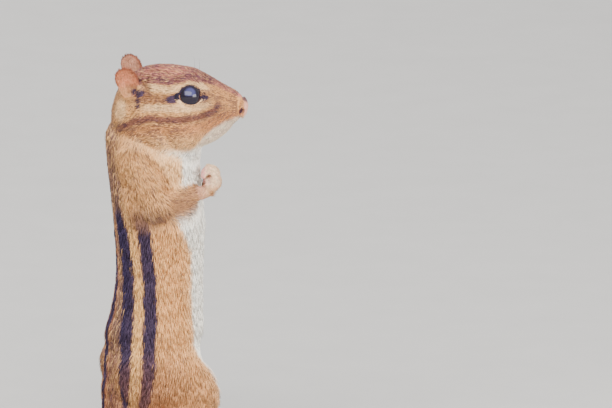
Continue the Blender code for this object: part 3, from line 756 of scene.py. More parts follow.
skinFinish = fleckedMaterial("furSkin", None, 1400, 0.5, 0.25, Roughness=0.75, Specular_IOR_Level=0.2)
coatFinish = fleckedMaterial("coatHair", None, 2600, 0.25, 0.0, Roughness=0.6, Specular_IOR_Level=0.25)
bareFinish = fleckedMaterial("bareSkin", None, 2200, 0.3, 0.08, Roughness=0.5, Specular_IOR_Level=0.35)
bareShader = bareFinish.node_tree.nodes["Principled BSDF"]
bareShader.inputs["Subsurface Weight"].default_value = 0.25
bareShader.inputs["Subsurface Scale"].default_value = 0.8 * mm
bareShader.inputs["Subsurface Radius"].default_value = (1.0, 0.4, 0.25)
skin.data.materials.append(skinFinish)


# Tufts: closed flattened spikes. Length, width and lift are each 1 and are scaled where they stand.
def tuftShapes(name, rings, bends):
    holder = bpy.data.collections.new(name)
    for number, (sway, rise) in enumerate(bends):
        verts, faces = [], []
        for along, half, lift, thick in rings:
            middle, height = sway * along * along, lift * (1 + (rise - 1) * along)
            verts += [(along, middle + half, height), (along, middle - half, height)]
            verts.append((along, middle, height + thick))
        verts.append((1.0, sway, rings[-1][2] * rise * 1.05))
        last, tip = 3 * len(rings) - 3, 3 * len(rings)
        for a in range(0, last, 3):
            faces += bandFaces(a, a + 3, 3)
        faces += [(last, last + 1, tip), (last + 1, last + 2, tip), (last + 2, last, tip), (2, 1, 0)]
        shape = meshFrom(f"{name}{number}", verts, faces)
        holder.objects.link(bpy.data.objects.new(shape.name, shape))
    return holder


shortTufts = tuftShapes(
    "shortTuft",
    [(0.0, 0.30, -0.20, 0.10), (0.46, 0.50, 0.62, 0.16)],
    [(0.5, 1.0), (-0.6, 1.1), (0.9, 0.85), (-0.3, 1.25), (0.1, 0.9)],
)
longTufts = tuftShapes(
    "longTuft",
    [(0.0, 0.30, -0.10, 0.08), (0.33, 0.50, 0.42, 0.12), (0.7, 0.36, 0.80, 0.10)],
    [(0.8, 1.0), (-0.9, 1.15), (1.6, 0.85), (-1.5, 0.95), (0.2, 1.2)],
)


# The node tree that grows a coat: tufts turned to the lie of the surface and sized by its attributes.
def coatTree():
    tree = bpy.data.node_groups.new("coatOfTufts", "GeometryNodeTree")
    for label, kind, value in (
        ("Geometry", "NodeSocketGeometry", None),
        ("Tuft Shapes", "NodeSocketCollection", None),
        ("Wander", "NodeSocketFloat", 0.25),
        ("Pitch", "NodeSocketFloat", 0.08),
        ("Size Jitter", "NodeSocketFloat", 0.25),
        ("Seed", "NodeSocketInt", 1),
        ("Material", "NodeSocketMaterial", None),
    ):
        socket = tree.interface.new_socket(label, in_out="INPUT", socket_type=kind)
        if value is not None:
            socket.default_value = value
    tree.interface.new_socket("Geometry", in_out="OUTPUT", socket_type="NodeSocketGeometry")
    source, result = tree.nodes.new("NodeGroupInput"), tree.nodes.new("NodeGroupOutput")
    given = source.outputs
    pitch, wander, jitter = given["Pitch"], given["Wander"], given["Size Jitter"]

    def add(kind, values=None, **settings):
        return addNode(tree, kind, values, **settings)

    def named(label, kind="FLOAT_VECTOR"):
        node = add("GeometryNodeInputNamedAttribute", {"Name": label}, data_type=kind)
        return next(s for s in node.outputs if s.enabled and s.name == "Attribute")

    def sums(operation, a, b):
        return add("ShaderNodeMath", {0: a, 1: b}, operation=operation).outputs[0]

    def chance(low, high, offset):
        node = add("FunctionNodeRandomValue", {"Seed": sums("ADD", given["Seed"], offset)}, data_type="FLOAT")
        limits = [s for s in node.inputs if s.enabled and s.name in ("Min", "Max")]
        feed(tree, limits[0], low)
        feed(tree, limits[1], high)
        return next(s for s in node.outputs if s.enabled)

    density = named("tuftDensity", "FLOAT")
    scatterValues = {"Mesh": given["Geometry"], "Density": density, "Seed": given["Seed"]}
    scatter = add("GeometryNodeDistributePointsOnFaces", scatterValues)
    position = add("GeometryNodeInputPosition").outputs[0]
    rootValues = {"Geometry": scatter.outputs["Points"], "Name": "root", "Value": position}
    remember = add("GeometryNodeStoreNamedAttribute", rootValues, data_type="FLOAT_VECTOR", domain="POINT")
    aimValues = {0: named("outward"), 1: named("lie")}
    aim = add("FunctionNodeAxesToRotation", aimValues, primary_axis="Z", secondary_axis="X")
    pitched = chance(sums("MULTIPLY", pitch, -1.0), pitch, 11)
    wandered = chance(sums("MULTIPLY", wander, -1.0), wander, 12)
    angles = add("ShaderNodeCombineXYZ", {"Y": pitched, "Z": wandered})
    euler = add("FunctionNodeEulerToRotation", {0: angles.outputs[0]})
    turn = add("FunctionNodeRotateRotation", {0: aim.outputs[0], 1: euler.outputs[0]}, rotation_space="LOCAL")
    shapeValues = {"Collection": given["Tuft Shapes"], "Separate Children": True, "Reset Children": True}
    shapes = add("GeometryNodeCollectionInfo", shapeValues)
    varied = chance(sums("SUBTRACT", 1.0, jitter), sums("ADD", 1.0, jitter), 13)
    scale = add("ShaderNodeVectorMath", {0: named("tuftSize"), "Scale": varied}, operation="SCALE")
    standValues = {"Points": remember.outputs[0], "Instance": shapes.outputs[0], "Pick Instance": True}
    standValues.update({"Rotation": turn.outputs[0], "Scale": scale.outputs[0]})
    stand = add("GeometryNodeInstanceOnPoints", standValues)
    realize = add("GeometryNodeRealizeInstances", {0: stand.outputs[0]})
    paint = add("GeometryNodeSetMaterial", {"Geometry": realize.outputs[0], "Material": given["Material"]})
    feed(tree, result.inputs[0], paint.outputs[0])
    return tree


coatNodes = coatTree()
coatInputs = {s.name: s.identifier for s in coatNodes.interface.items_tree if s.in_out == "INPUT"}


# What a surface tells the tufts that stand on it: sizes in millimetres and tufts to the square millimetre.
def tellTufts(mesh, lie, outward, size, density):
    storeAttribute(mesh, "lie", "FLOAT_VECTOR", lie)
    storeAttribute(mesh, "outward", "FLOAT_VECTOR", outward)
    storeAttribute(mesh, "tuftSize", "FLOAT_VECTOR", np.asarray(size) * mm)
    storeAttribute(mesh, "tuftDensity", "FLOAT", np.asarray(density) / (mm * mm))


def forgetTufts(mesh):
    for name in ("root", "lie", "outward", "tuftSize", "tuftDensity"):
        if name in mesh.attributes:
            mesh.attributes.remove(mesh.attributes[name])


# Round and along a form: a root's place on the form's own unwrap, both from 0 to 1.
def wrapped(p, centre, axis):
    axis = unit(axis)
    first = unit(np.cross(axis, (0.0, 1.0, 0.0) if abs(axis[1]) < 0.9 else (1.0, 0.0, 0.0)))
    second = np.cross(axis, first)
    q = p - np.array(centre)
    turn = np.arctan2(q @ second, q @ first) / (2 * math.pi) + 0.5
    along = q @ axis
    return turn, (along - along.min()) / max(1e-6, np.ptp(along))


# The OFBake map: each tuft is a small patch at its root's place on the unwrap of its islands.
bakePatch = {"across": 0.003, "margin": 0.01}


def bakeMap(mesh, tuftSize, roots, islands):
    margin, patch = bakePatch["margin"], bakePatch["across"]
    u, v = np.zeros(len(roots)), np.zeros(len(roots))
    for number, (chosen, centre, axis) in enumerate(islands):
        if chosen.any():
            turn, along = wrapped(roots[chosen], centre, axis)
            u[chosen] = (number + margin + (1 - 2 * margin) * turn) / len(islands)
            v[chosen] = margin + (1 - 2 * margin) * along
    ringCount = tuftSize // 3
    across = np.append(np.tile((-0.5, 0.5, 0.0), ringCount), 0.0)
    upward = np.append(np.repeat(np.linspace(-0.5, 0.4, ringCount), 3), 0.5)
    corner = np.empty(len(mesh.loops), np.int32)
    mesh.loops.foreach_get("vertex_index", corner)
    tuft, spot = corner // tuftSize, corner % tuftSize
    uv = np.stack((u[tuft] + across[spot] * patch, v[tuft] + upward[spot] * patch), axis=1)
    mesh.uv_layers.new(name="OFBake").data.foreach_set("uv", uv.astype(np.float32).ravel())


# How far tufts turn to the side in radians, how their size varies, and the lowest hair in millimetres.
growth = {"wander": 0.26, "headWander": 0.24, "bodyWander": 0.13, "sizeJitter": 0.28, "lowestHair": 0.05}
coatSeeds = {"body": 20, "lids": 60, "ears": 70, "tail": 77, "paws": 80, "nose": 90}


# Grows a coat on a host that tellTufts has told, adds its map and makes it a piece.
# colourOf gives each tuft's colour, one factor for every foot, whose darker roots are partly their darker
# hair and partly painted shade deep in the coat, and one for each tip.
def growCoat(name, host, shapes, seed, islands, colourOf, wander=growth["wander"], pitch=0.08):
    tuftSize = len(shapes.objects[0].data.vertices)
    modifier = host.modifiers.new("coat", "NODES")
    modifier.node_group = coatNodes
    values = {"Tuft Shapes": shapes, "Seed": seed, "Material": coatFinish}
    values.update({"Wander": wander, "Pitch": pitch, "Size Jitter": growth["sizeJitter"]})
    for label, value in values.items():
        modifier[coatInputs[label]] = value
    graph = bpy.context.evaluated_depsgraph_get()
    mesh = bpy.data.meshes.new_from_object(host.evaluated_get(graph))
    host.modifiers.clear()
    mesh.name = name
    coat = newObject(name, mesh)
    roots = np.empty(len(mesh.vertices) * 3, np.float32)
    mesh.attributes["root"].data.foreach_get("vector", roots)
    roots = roots.reshape(-1, tuftSize, 3)[:, 0].astype(float)
    local = toLocal(roots)
    colour, foot, tip = colourOf(roots, local, np.random.default_rng(seed))
    shade = np.ones((len(roots), tuftSize, 3)) * colour[:, None, :]
    # darker roots: partly their darker hair, partly painted shade deep in the coat
    shade[:, :3] *= foot
    shade[:, -1] *= tip[:, None]
    forgetTufts(mesh)
    forgetTufts(host.data)
    storeAttribute(mesh, "coatColour", "FLOAT_COLOR", shade.reshape(-1, 3))
    bakeMap(mesh, tuftSize, local, islands(local))
    lying = positions(mesh)
    lying[:, 2] = np.maximum(lying[:, 2], growth["lowestHair"] * mm)
    moveVertices(mesh, lying)
    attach(coat, "root")
    triangles = sum(len(p.vertices) - 2 for p in mesh.polygons)
    print("stage:", name, len(roots), "tufts,", triangles, "triangles")


# Colours for tufts that take the tint of their host's nearest point, each varied a little.
def tintedTufts(tint, points, gain, vary, foot, tips, shadow=0.0):
    nearest = finderFor(points)

    def colours(roots, local, rng):
        shade = 1 - shadow * smoothStep(0.45, 0.75, valueNoise(*(local * 0.9).T))
        varied = (shade * rng.normal(1.0, vary, len(local)))[:, None]
        return tint[nearest(roots)] * gain * varied, foot, rng.uniform(*tips, len(local))

    return colours


# The short coat: length, width and lift in millimetres, and tufts to the square millimetre.
shortCoat = {
    "head": (2.2, 0.22, 0.50, 10.5),
    "jaw": (1.8, 0.21, 0.42, 10.0),
    "nose": (0.8, 0.16, 0.20, 12.0),
    "neck": (3.8, 0.28, 0.85, 7.6),
    "chest": (4.6, 0.28, 0.90, 6.0),
    "belly": (5.0, 0.28, 0.90, 5.7),
    "rump": (4.6, 0.29, 0.85, 5.4),
    "upper_arm": (3.4, 0.27, 0.80, 7.4),
    "forearm": (2.3, 0.23, 0.50, 9.0),
    "thigh": (4.2, 0.30, 0.85, 4.9),
    "shank": (2.7, 0.28, 0.65, 5.5),
}
# Where its sizes change, by what share, and where the skin stays bare.
coatChanges = {
    "muzzle": (-0.5, -0.15, -0.5, 0.15),
    "elbow": 0.5,
    "earEdge": -0.35,
    "bareEye": (5.2, 4.2),
    "bareEar": 0.93,
    "bareNose": 30.4,
    "bareUnder": 1.6,
    "middle": 0.42,
}
size = np.array([shortCoat[n] for n in skinNodes])
muzzle = (smoothStep(4, 27, x) * onHead)[:, None]
size *= 1 + muzzle * np.array(coatChanges["muzzle"])
elbow = bandAt(z, 92.5, 3.0, 2.0) * (skinNodes == "upper_arm")
size[:, 0] *= 1 + coatChanges["elbow"] * elbow
size = smoothedOver(skin.data, size, 10)
size[:, :3] *= (1 + coatChanges["earEdge"] * bandAt(inEar, 1.0, 0.35, 0.15))[:, None]
density = size[:, 3].copy()
eyeWide, eyeTall = coatChanges["bareEye"]
inEye = (np.abs(y) > 6) & (np.hypot((x - eyeX) / eyeWide, (z - eyeZ) / eyeTall) < 1)
underneath = (z < coatChanges["bareUnder"]) & (skinNormal[:, 2] < 0)
bareNose = (x > coatChanges["bareNose"]) & onHead
density[inEye | bareNose | underneath | (inEar < coatChanges["bareEar"])] = 0
# from a tuft's root to its middle, which is what the eye sees
toMiddle = turned(lie, -turnAt(z)) * size[:, :1] * coatChanges["middle"]


def shortColours(roots, local, rng):
    near = nearestSkin(roots)
    part = {key: share[near] for key, share in parts.items()}
    head = part["head"] > 0.5
    wander = local + rng.normal(0, 1, local.shape) * np.where(head, 0.14, 0.26)[:, None]
    colour = coatColour(wander + toMiddle[near], part)
    x, y, z = local.T
    theta = flankAngle(local)
    streak = np.where(head, valueNoise(x * 0.32, y * 1.4, z * 1.4), valueNoise(x * 1.1, y * 1.1, z * 0.27))
    crown = smoothStep(0, 1, z - faceLine("crown", x)) * head
    back = np.maximum(smoothStep(128, 142, theta) * ~head, crown)
    pale = smoothStep(0.45, 0.65, colour.mean(1))
    shoulder = smoothStep(86, 100, z) * ~head
    deep = smoothStep(0.16, 0.08, colour.mean(1))
    flecks = (0.03 + 0.17 * head + 0.05 * shoulder + 0.08 * part["arm"] + 0.18 * back) * (1 - 0.9 * pale)
    flecks += 0.32 * head * smoothStep(16, 22, x) * smoothStep(124, 129, z) * (1 - pale)
    flecks += 0.28 * head * bandAt(z, 122.5, 4.5, 2.0) * smoothStep(16, 8, x) * (1 - pale)
    flecks *= 0.3 + 1.4 * smoothStep(0.35, 0.7, streak)
    pick = rng.random(len(local))
    colour = np.where((pick < flecks)[:, None], colour * 0.36 + coatColours["dark"] * 0.35, colour)
    light = (pick > 1 - (0.16 * back + 0.05) * (1 - 0.97 * deep)) & (back + part["arm"] > 0.3)
    colour = np.where(light[:, None], colour * 0.4 + coatColours["buff"] * 0.6, colour)
    swing = np.where(head, 0.34, 0.09) + 0.12 * back
    colour = colour * (1 + swing * (streak - 0.5) * 2 * (1 - 0.6 * pale))[:, None]
    colour = colour * rng.normal(1.0, 0.055, len(local)).clip(0.8, 1.25)[:, None]
    return colour, 0.84, rng.uniform(0.96, 1.16, len(local))


# The islands of a coat's map: one round-and-along unwrap for each form that it covers.
def oneIsland(centre, axis):
    return lambda p: [(np.ones(len(p), bool), centre, axis)]


def pairOfIslands(centre, axis):
    return lambda p: [(p[:, 1] < 0, mirrored(centre, -1), axis), (p[:, 1] >= 0, centre, axis)]


headPart = parts["head"] > 0.5
headRound = oneIsland((0, 0, 127), (1, 0, 0))
trunkRound = oneIsland((0, 0, 80), (0, 0, 1))
coatPieces = {
    "coatFace": (headPart & (x > 9), headRound),
    "coatCheekRight": (headPart & (x <= 9) & (y < 0), headRound),
    "coatCheekLeft": (headPart & (x <= 9) & (y >= 0), headRound),
    "coatNeck": (~headPart & np.isin(skinNodes, ("neck", "head", "jaw")), trunkRound),
    "coatChest": (~headPart & (skinNodes == "chest"), trunkRound),
    "coatBelly": (skinNodes == "belly", trunkRound),
    "coatRump": (skinNodes == "rump", trunkRound),
    "coatThighs": (np.isin(skinNodes, ("thigh", "shank")), pairOfIslands((2, 8, 25), (0, 0, 1))),
    "coatArms": (np.isin(skinNodes, ("upper_arm", "forearm")), pairOfIslands((4, 14, 100), (0.7, 0, -0.7))),
}
for number, (name, (chosen, islands)) in enumerate(coatPieces.items()):
    tellTufts(skin.data, lie, skinNormal, size[:, :3], np.where(chosen, density, 0))
    wander = growth["headWander" if islands is headRound else "bodyWander"]
    growCoat(name, skin, shortTufts, coatSeeds["body"] + number, islands, shortColours, wander)
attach(skin, "root")
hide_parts(*flesh)

# Eyes: a gloss ball in each socket with a slight bulge in front, and lids that hug it.
eyeForm = {
    "radius": 4.3,
    "segments": 64,
    "rings": 40,
    "bulge": 0.2,
    "bulgeAcross": 0.6,
    "iris": (0.008, 0.004, 0.014),
    # the painted bluish reflection of the sky, and the way it faces
    "bloom": (0.042, 0.046, 0.125),
    "bloomFaces": (0.16, 0.86, 0.46),
}
eyeFinish = fleckedMaterial("eyeGloss", None, 300, 0.3, 0.0, Roughness=0.06, Specular_IOR_Level=0.45)
lidForm = {
    "half": (4.1, 3.02),
    "upperLift": 0.14,
    "overSkin": 0.08,
    "faces": (0.33, 0.92, 0.18),
    "columns": 56,
    "rows": ((0.88, 0.0), (0.975, 0.0), (1.03, 0.0), (1.09, 0.35), (1.2, 0.85), (1.36, 1.0), (1.6, 1.0)),
    "lift": (-0.35, 0.03, 0.26, 0.24, 0.16, 0.0, -0.7),
    "darkTo": 1.06,
    "darkUpper": 0.06,
    "darkCorners": (0.55, 0.62),
    "wall": 0.5,
}
lidTufts = {"size": (0.85, 0.15, 0.20), "density": 13.0}


# A lid's rings run from inside the opening out over the skin, each at its height over the eye's centre.
def lidMesh(sign):
    centre = np.array(mirrored(stance["eyeCentre"], sign), float)
    out = unit(mirrored(lidForm["faces"], sign))
    ahead = unit((abs(out[1]), -out[0] * sign, 0.0))
    up = np.cross(ahead, out) * -sign
    up *= np.sign(up[2])
    count = lidForm["columns"]
    turns = np.linspace(0, 2 * math.pi, count, endpoint=False)
    verts, rowOf = [], []
    for (grow, toSkin), lift in zip(lidForm["rows"], lidForm["lift"]):
        across = lidForm["half"][0] * grow * np.cos(turns)
        rise = lidForm["half"][1] * grow * np.sin(turns) * (0.84 + 0.16 * np.abs(np.sin(turns)))
        rise *= 1 + lidForm["upperLift"] * (np.sin(turns) > 0)
        flat = centre + ahead * across[:, None] + up * rise[:, None]
        inward = np.minimum(4.05, np.hypot(across, rise))
        ball = np.sqrt(np.maximum(0.6, eyeForm["radius"] ** 2 - inward**2))
        found = []
        for spot in flat:
            start, heading = toWorld([spot + out * 9])[0], toWorld([spot])[0] - toWorld([spot + out * 9])[0]
            hit = skinTree.ray_cast(Vector(start), Vector(heading).normalized(), 8.5 * mm)
            found.append(9 - hit[3] / mm if hit[0] is not None else np.nan)
        found = np.array(found)
        good = ~np.isnan(found)
        filled = good.sum() > 8
        found = np.interp(np.arange(count), np.flatnonzero(good), found[good]) if filled else ball
        for _ in range(6):
            found = 0.5 * found + 0.25 * (np.roll(found, 1) + np.roll(found, -1))
        height = ball * (1 - toSkin) + np.maximum(found, ball if toSkin < 1 else 0) * toSkin + lift
        if 1 < grow < 1.5:
            height = np.maximum(height, found + lidForm["overSkin"])
        verts.append(flat + out * height[:, None])
        rowOf += [grow] * count
    faces = []
    for r in range(len(verts) - 1):
        faces += bandFaces(r * count, (r + 1) * count, count)
    # a thin wall behind makes the ring a closed form
    base = len(verts) * count
    behind = [ring - out * lidForm["wall"] for ring in verts]
    faces += [tuple(base + i for i in f[::-1]) for f in faces[:]]
    last = (len(verts) - 1) * count
    for j in range(count):
        k = (j + 1) % count
        faces += [(j, base + j, base + k, k), (last + k, base + last + k, base + last + j, last + j)]
    return np.vstack(verts + behind), faces, np.array(rowOf * 2), np.tile(turns, 2 * len(verts))


# Dark along the edge of the lids, further out over the top and at both corners, and cream round that.
def lidColour(rowOf, turnOf):
    ahead, rise = np.cos(turnOf), np.sin(turnOf)
    corner = smoothStep(0.45, 0.15, np.abs(rise)) * np.where(ahead > 0, *lidForm["darkCorners"])
    darkTo = lidForm["darkTo"] + lidForm["darkUpper"] * smoothStep(0.1, 0.5, rise) + corner
    edge = smoothStep(darkTo + 0.03, darkTo - 0.03, rowOf)
    return painted("cream", len(rowOf), ("lidRim", edge))


# Gives the eyeball its bulge, and a painted bluish reflection of the sky high on its front.
def shapedEye(mesh, sign):
    centre = np.array(mirrored(stance["eyeCentre"], sign))
    away = unitRows(toLocal(positions(mesh)) - centre)
    off = np.arccos(np.clip(away @ unit(mirrored(lidForm["faces"], sign)), -1, 1))
    reach = eyeForm["radius"] + eyeForm["bulge"] * np.exp(-((off / eyeForm["bulgeAcross"]) ** 2))
    moveVertices(mesh, toWorld(centre + away * reach[:, None]))
    # painted reflection of the sky, high on the ball's front
    bloom = smoothStep(0.84, 0.96, away @ unit(mirrored(eyeForm["bloomFaces"], sign)))
    bloom *= smoothStep(0.14, 0.24, away[:, 2])
    storeAttribute(mesh, "coatColour", "FLOAT_COLOR", eyeForm["iris"] + bloom[:, None] * eyeForm["bloom"])


for side, sign in sides.items():
    bm = bmesh.new()
    bmesh.ops.create_uvsphere(
        bm, u_segments=eyeForm["segments"], v_segments=eyeForm["rings"], radius=eyeForm["radius"] * mm
    )
    bmesh.ops.translate(bm, verts=bm.verts, vec=toWorld([mirrored(stance["eyeCentre"], sign)])[0])
    mesh = bpy.data.meshes.new(f"eyeball_{side}")
    bm.to_mesh(mesh)
    bm.free()
    shapedEye(mesh, sign)
    smoothShade(mesh)
    mesh.materials.append(eyeFinish)
    ball = newObject(f"eyeball_{side}", mesh)
    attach(ball, "root")
    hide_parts(f"eye_{side}")

    verts, faces, rowOf, turnOf = lidMesh(sign)
    lids = formed(f"eyelids_{side}", toWorld(verts), faces)
    lidTint = lidColour(rowOf, turnOf)
    dress(lids, lidTint, skinFinish)
    outward = vertexNormals(lids.data)
    radial = verts - np.array(mirrored(stance["eyeCentre"], sign))
    radial[:, 0] -= 0.6 * np.linalg.norm(radial, axis=1)
    leaving = laidFlat(turned(radial, turnAt(verts[:, 2])), outward)
    front = np.arange(len(verts)) < len(verts) // 2
    stand = np.where(front & (rowOf > 1.08) & (rowOf < 1.5), lidTufts["density"], 0)
    tellTufts(lids.data, leaving, outward, np.tile(lidTufts["size"], (len(verts), 1)), stand)
    colours = tintedTufts(lidTint, positions(lids.data), 1.0, 0.07, 0.9, (0.95, 1.1))
    island = oneIsland(mirrored(stance["eyeCentre"], sign), mirrored(lidForm["faces"], sign))
    seed = coatSeeds["lids"] + sign
    growCoat(f"coatLids_{side}", lids, shortTufts, seed, island, colours, pitch=0.04)
    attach(lids, "root")
print("stage: eyes and lids made")

# Nose: the bare tip of the muzzle, dark on top, with a slanted slit on each side.
noseForm = {
    "voxel": 0.16,
    "rounds": 8,
    "slit": (31.3, 128.4),
    "slitHalf": (0.75, 1.5),
    "slitSink": 0.1,
    "lean": 0.35,
}
nose = remeshed(nodeCopy("noseTip", ["nose"]), noseForm["voxel"], noseForm["rounds"])
smoothShade(nose.data)
local = toLocal(positions(nose.data))
nx, ny, nz = local.T
top = smoothStep(0, 0.8, nz - (133.1 - 0.75 * (nx - 30.5))) * smoothStep(29.6, 30.6, nx)
slitX, slitZ = noseForm["slit"]
lean = nx - slitX - noseForm["lean"] * (nz - slitZ)
slit = np.hypot(lean / noseForm["slitHalf"][0], (nz - slitZ) / noseForm["slitHalf"][1])
slit = smoothStep(1.15, 0.75, slit) * smoothStep(1.0, 1.8, np.abs(ny))
tint = painted(
    "nose",
    len(local),
    ("nosePink", smoothStep(31.6, 33.2, nx + 0.25 * (130 - nz))),
    ("white", 0.4 * smoothStep(126.8, 125.6, nz)),
    ("nostril", 0.85 * top),
    # the slits are painted dark as the shade inside the nostrils
    ("nostril", slit),
)
dress(nose, tint, bareFinish)
sunk = positions(nose.data) - vertexNormals(nose.data) * (noseForm["slitSink"] * slit * mm)[:, None]
moveVertices(nose.data, sunk)
# the muzzle's fur runs out over the back of the nose
noseTufts = {"size": (0.8, 0.16, 0.16), "density": 24.0, "bareFrom": 32.5}
noseNormal = vertexNormals(nose.data)
noseLie = laidFlat(turned(np.tile((-1.0, 0.0, -0.1), (len(local), 1)), turnAt(nz)), noseNormal)
bare = (nx > noseTufts["bareFrom"]) | (slit > 0.1) | (top > 0.3)
noseStand = np.where(bare, 0, noseTufts["density"])
tellTufts(nose.data, noseLie, noseNormal, np.tile(noseTufts["size"], (len(local), 1)), noseStand)


def noseColours(roots, local, rng):
    colour = headColour(local + rng.normal(0, 0.1, local.shape))
    pick = rng.random(len(local)) < 0.12
    colour = np.where(pick[:, None], colour * 0.5, colour)
    return colour * rng.normal(1.0, 0.06, len(local))[:, None], 0.88, rng.uniform(0.95, 1.1, len(local))


noseRound = oneIsland((31, 0, 130), (1, 0, 0))
growCoat("coatNose", nose, shortTufts, coatSeeds["nose"], noseRound, noseColours, pitch=0.04)
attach(nose, "root")
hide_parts("nose")


# An ear's wall: rings from the rim into the bowl, and again behind it, where the rim is shared.
def earMesh(sign):
    rings, count = earForm["rings"], earForm["around"]
    turns = np.linspace(-math.pi, math.pi, count, endpoint=False)
    reach = np.interp(turns, rimAngle, rimReach, period=2 * math.pi)
    verts, shade, faces = [], [], []
    focus = earForm["focus"]
    shares = 1 - np.linspace(0, 1, rings) ** 1.25
    shares[-1] = 0.02
    for inFront, wall in ((1, 0.0), (0, earForm["wall"])):
        for share in shares[1 - inFront :]:
            a, h = focus[0] + reach * share * np.cos(turns), focus[1] + reach * share * np.sin(turns)
            thin = wall * smoothStep(1.0, 0.93, share)
            verts.append(earPlace(a, h, earSink(a, h, np.full(count, share)) - thin, sign))
            shade += [(share, inFront)] * count
    starts = [r * count for r in range(2 * rings - 1)]
    chain = starts[:rings][::-1] + starts[rings:]
    for low, high in zip(chain, chain[1:]):
        faces += bandFaces(low, high, count)
    faces += capFaces(chain[0], chain[-1], count)
    return np.vstack(verts), faces, np.array(shade)


earTufts = {"size": (0.95, 0.14, 0.16), "front": 8.0, "back": 9.0, "rim": 14.0}
for side, sign in sides.items():
    verts, faces, shade = earMesh(sign)
    ear = formed(f"earCup_{side}", toWorld(verts), faces)
    share, isFront = shade.T
    a, h = verts[:, 0] - earForm["centre"][0], verts[:, 2] - earForm["centre"][2]
    canal = np.hypot((a - 3.6) / 2.6, (h + 3.5) / 1.6)
    tint = painted(
        "ear",
        len(verts),
        ("earBack", 1 - isFront),
        ("earRim", 0.85 * smoothStep(0.82, 0.97, share) * smoothStep(138, 141, verts[:, 2])),
        ("golden", 0.45 * smoothStep(0.5, -3.5, h) * isFront),
        # painted shade in the ear's canal
        ("dark", 0.95 * smoothStep(1.1, 0.7, canal) * isFront),
    )
    dress(ear, tint, bareFinish)
    outward = vertexNormals(ear.data)
    away = verts - np.array(mirrored(earForm["centre"], sign)) + np.array((-1.5, 0, 5.0))
    hairLie = laidFlat(turned(away, turnAt(verts[:, 2])), outward)
    stand = np.where(isFront > 0.5, earTufts["front"], earTufts["back"])
    stand = np.where((share > 0.93) | (h < -3.0), earTufts["rim"], stand)
    tellTufts(ear.data, hairLie, outward, np.tile(earTufts["size"], (len(verts), 1)), stand)
    colours = tintedTufts(tint, positions(ear.data), 1.04, 0.15, 0.85, (0.95, 1.2), shadow=0.3)
    island = oneIsland(mirrored(earForm["centre"], sign), (0.4, sign, -0.15))
    seed = coatSeeds["ears"] + sign
    growCoat(f"coatEar_{side}", ear, shortTufts, seed, island, colours, pitch=0.05)
    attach(ear, "root")
    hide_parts(f"ear_{side}")
print("stage: nose and ears made")

# Paws and feet: digits and pads as beads, fused and smoothed.
pawForm = {
    "voxel": 0.24,
    "rounds": 7,
    "raise": {"right": -1.4, "left": -4.2},
    "step": {"right": 0.0, "left": 2.2},
    "fingers": ((-3.0, 0.0), (-1.0, 0.7), (1.0, 0.6), (2.9, -0.3)),
    "toes": ((-3.6, -4.4), (-1.9, -0.8), (0.0, 0.0), (1.9, -0.7), (3.6, -3.6)),
    "fingerBack": -1.2,
    "foreAbove": 60,
    "lowest": 0.03,
}


def pawBeads(side, sign):
    up, ahead = pawForm["raise"][side], pawForm["step"][side]
    beads = []

    def add(centre, radii, forward=0.0, rise=0.0):
        x, y, z = centre
        beads.append(((x + forward, y * sign, z + rise), radii if np.ndim(radii) else (radii,) * 3))

    def chain(path, count, forward=0.0, rise=0.0):
        for x, y, z, r in curvePoints(path, count):
            add((x, y, z), r, forward, rise)

    chain([(16.2, 9.9, 100.9, 2.5), (19.2, 8.4, 101.6, 2.25), (21.3, 6.4, 104.0, 2.6)], 9, rise=up)
    add((21.3, 6.2, 104.6), (2.7, 3.4, 3.3), rise=up)
    chain([(20.0, 4.4, 103.2, 1.3), (18.4, 3.4, 104.0, 1.0)], 4, rise=up)
    back = pawForm["fingerBack"]
    for spread, reach in pawForm["fingers"]:
        path = [
            (22.0, 6.2 + spread * 0.90, 105.6 + reach * 0.4, 1.25),
            (21.9, 6.2 + spread * 0.98, 107.7 + reach * 0.8, 1.12),
            (20.2 + back * 0.3, 6.0 + spread * 1.06, 109.0 + reach, 1.0),
            (19.1 + back, 5.7 + spread * 1.12, 107.6 + reach * 0.6, 0.95),
        ]
        chain(path, 14, rise=up)
        add((19.2 + back, 5.7 + spread * 1.12, 107.2 + reach * 0.6), (0.95, 0.85, 1.05), rise=up)
    for y, z in ((4.6, 105.2), (7.4, 105.0), (6.0, 103.2)):
        add((19.4, y, z), (1.2, 1.15, 1.2), rise=up)

    chain([(-10.5, 14.0, 2.9, 2.8), (1.0, 14.2, 3.1, 2.9), (11.5, 14.6, 2.5, 2.5)], 30, forward=ahead * 0.3)
    add((-10.5, 14.0, 3.0), (3.3, 3.0, 3.1))
    chain([(-9.0, 14.2, 7.0, 3.6), (-7.6, 14.1, 5.2, 3.3)], 4)
    add((12.0, 14.7, 2.2), (3.9, 4.5, 2.2), forward=ahead)
    for spread, reach in pawForm["toes"]:
        path = [
            (12.6 + reach * 0.35, 14.6 + spread * 0.84, 2.3, 1.35),
            (17.0 + reach * 0.8, 14.8 + spread * 1.10, 2.5, 1.12),
            (19.4 + reach * 0.9, 14.9 + spread * 1.15, 2.0, 0.98),
            (21.2 + reach, 15.0 + spread * 1.16, 1.15, 0.85),
        ]
        chain(path, 18, forward=ahead)
        add((20.6 + reach, 15.0 + spread * 1.16, 0.95), (1.1, 0.95, 0.9), forward=ahead)
    return beads


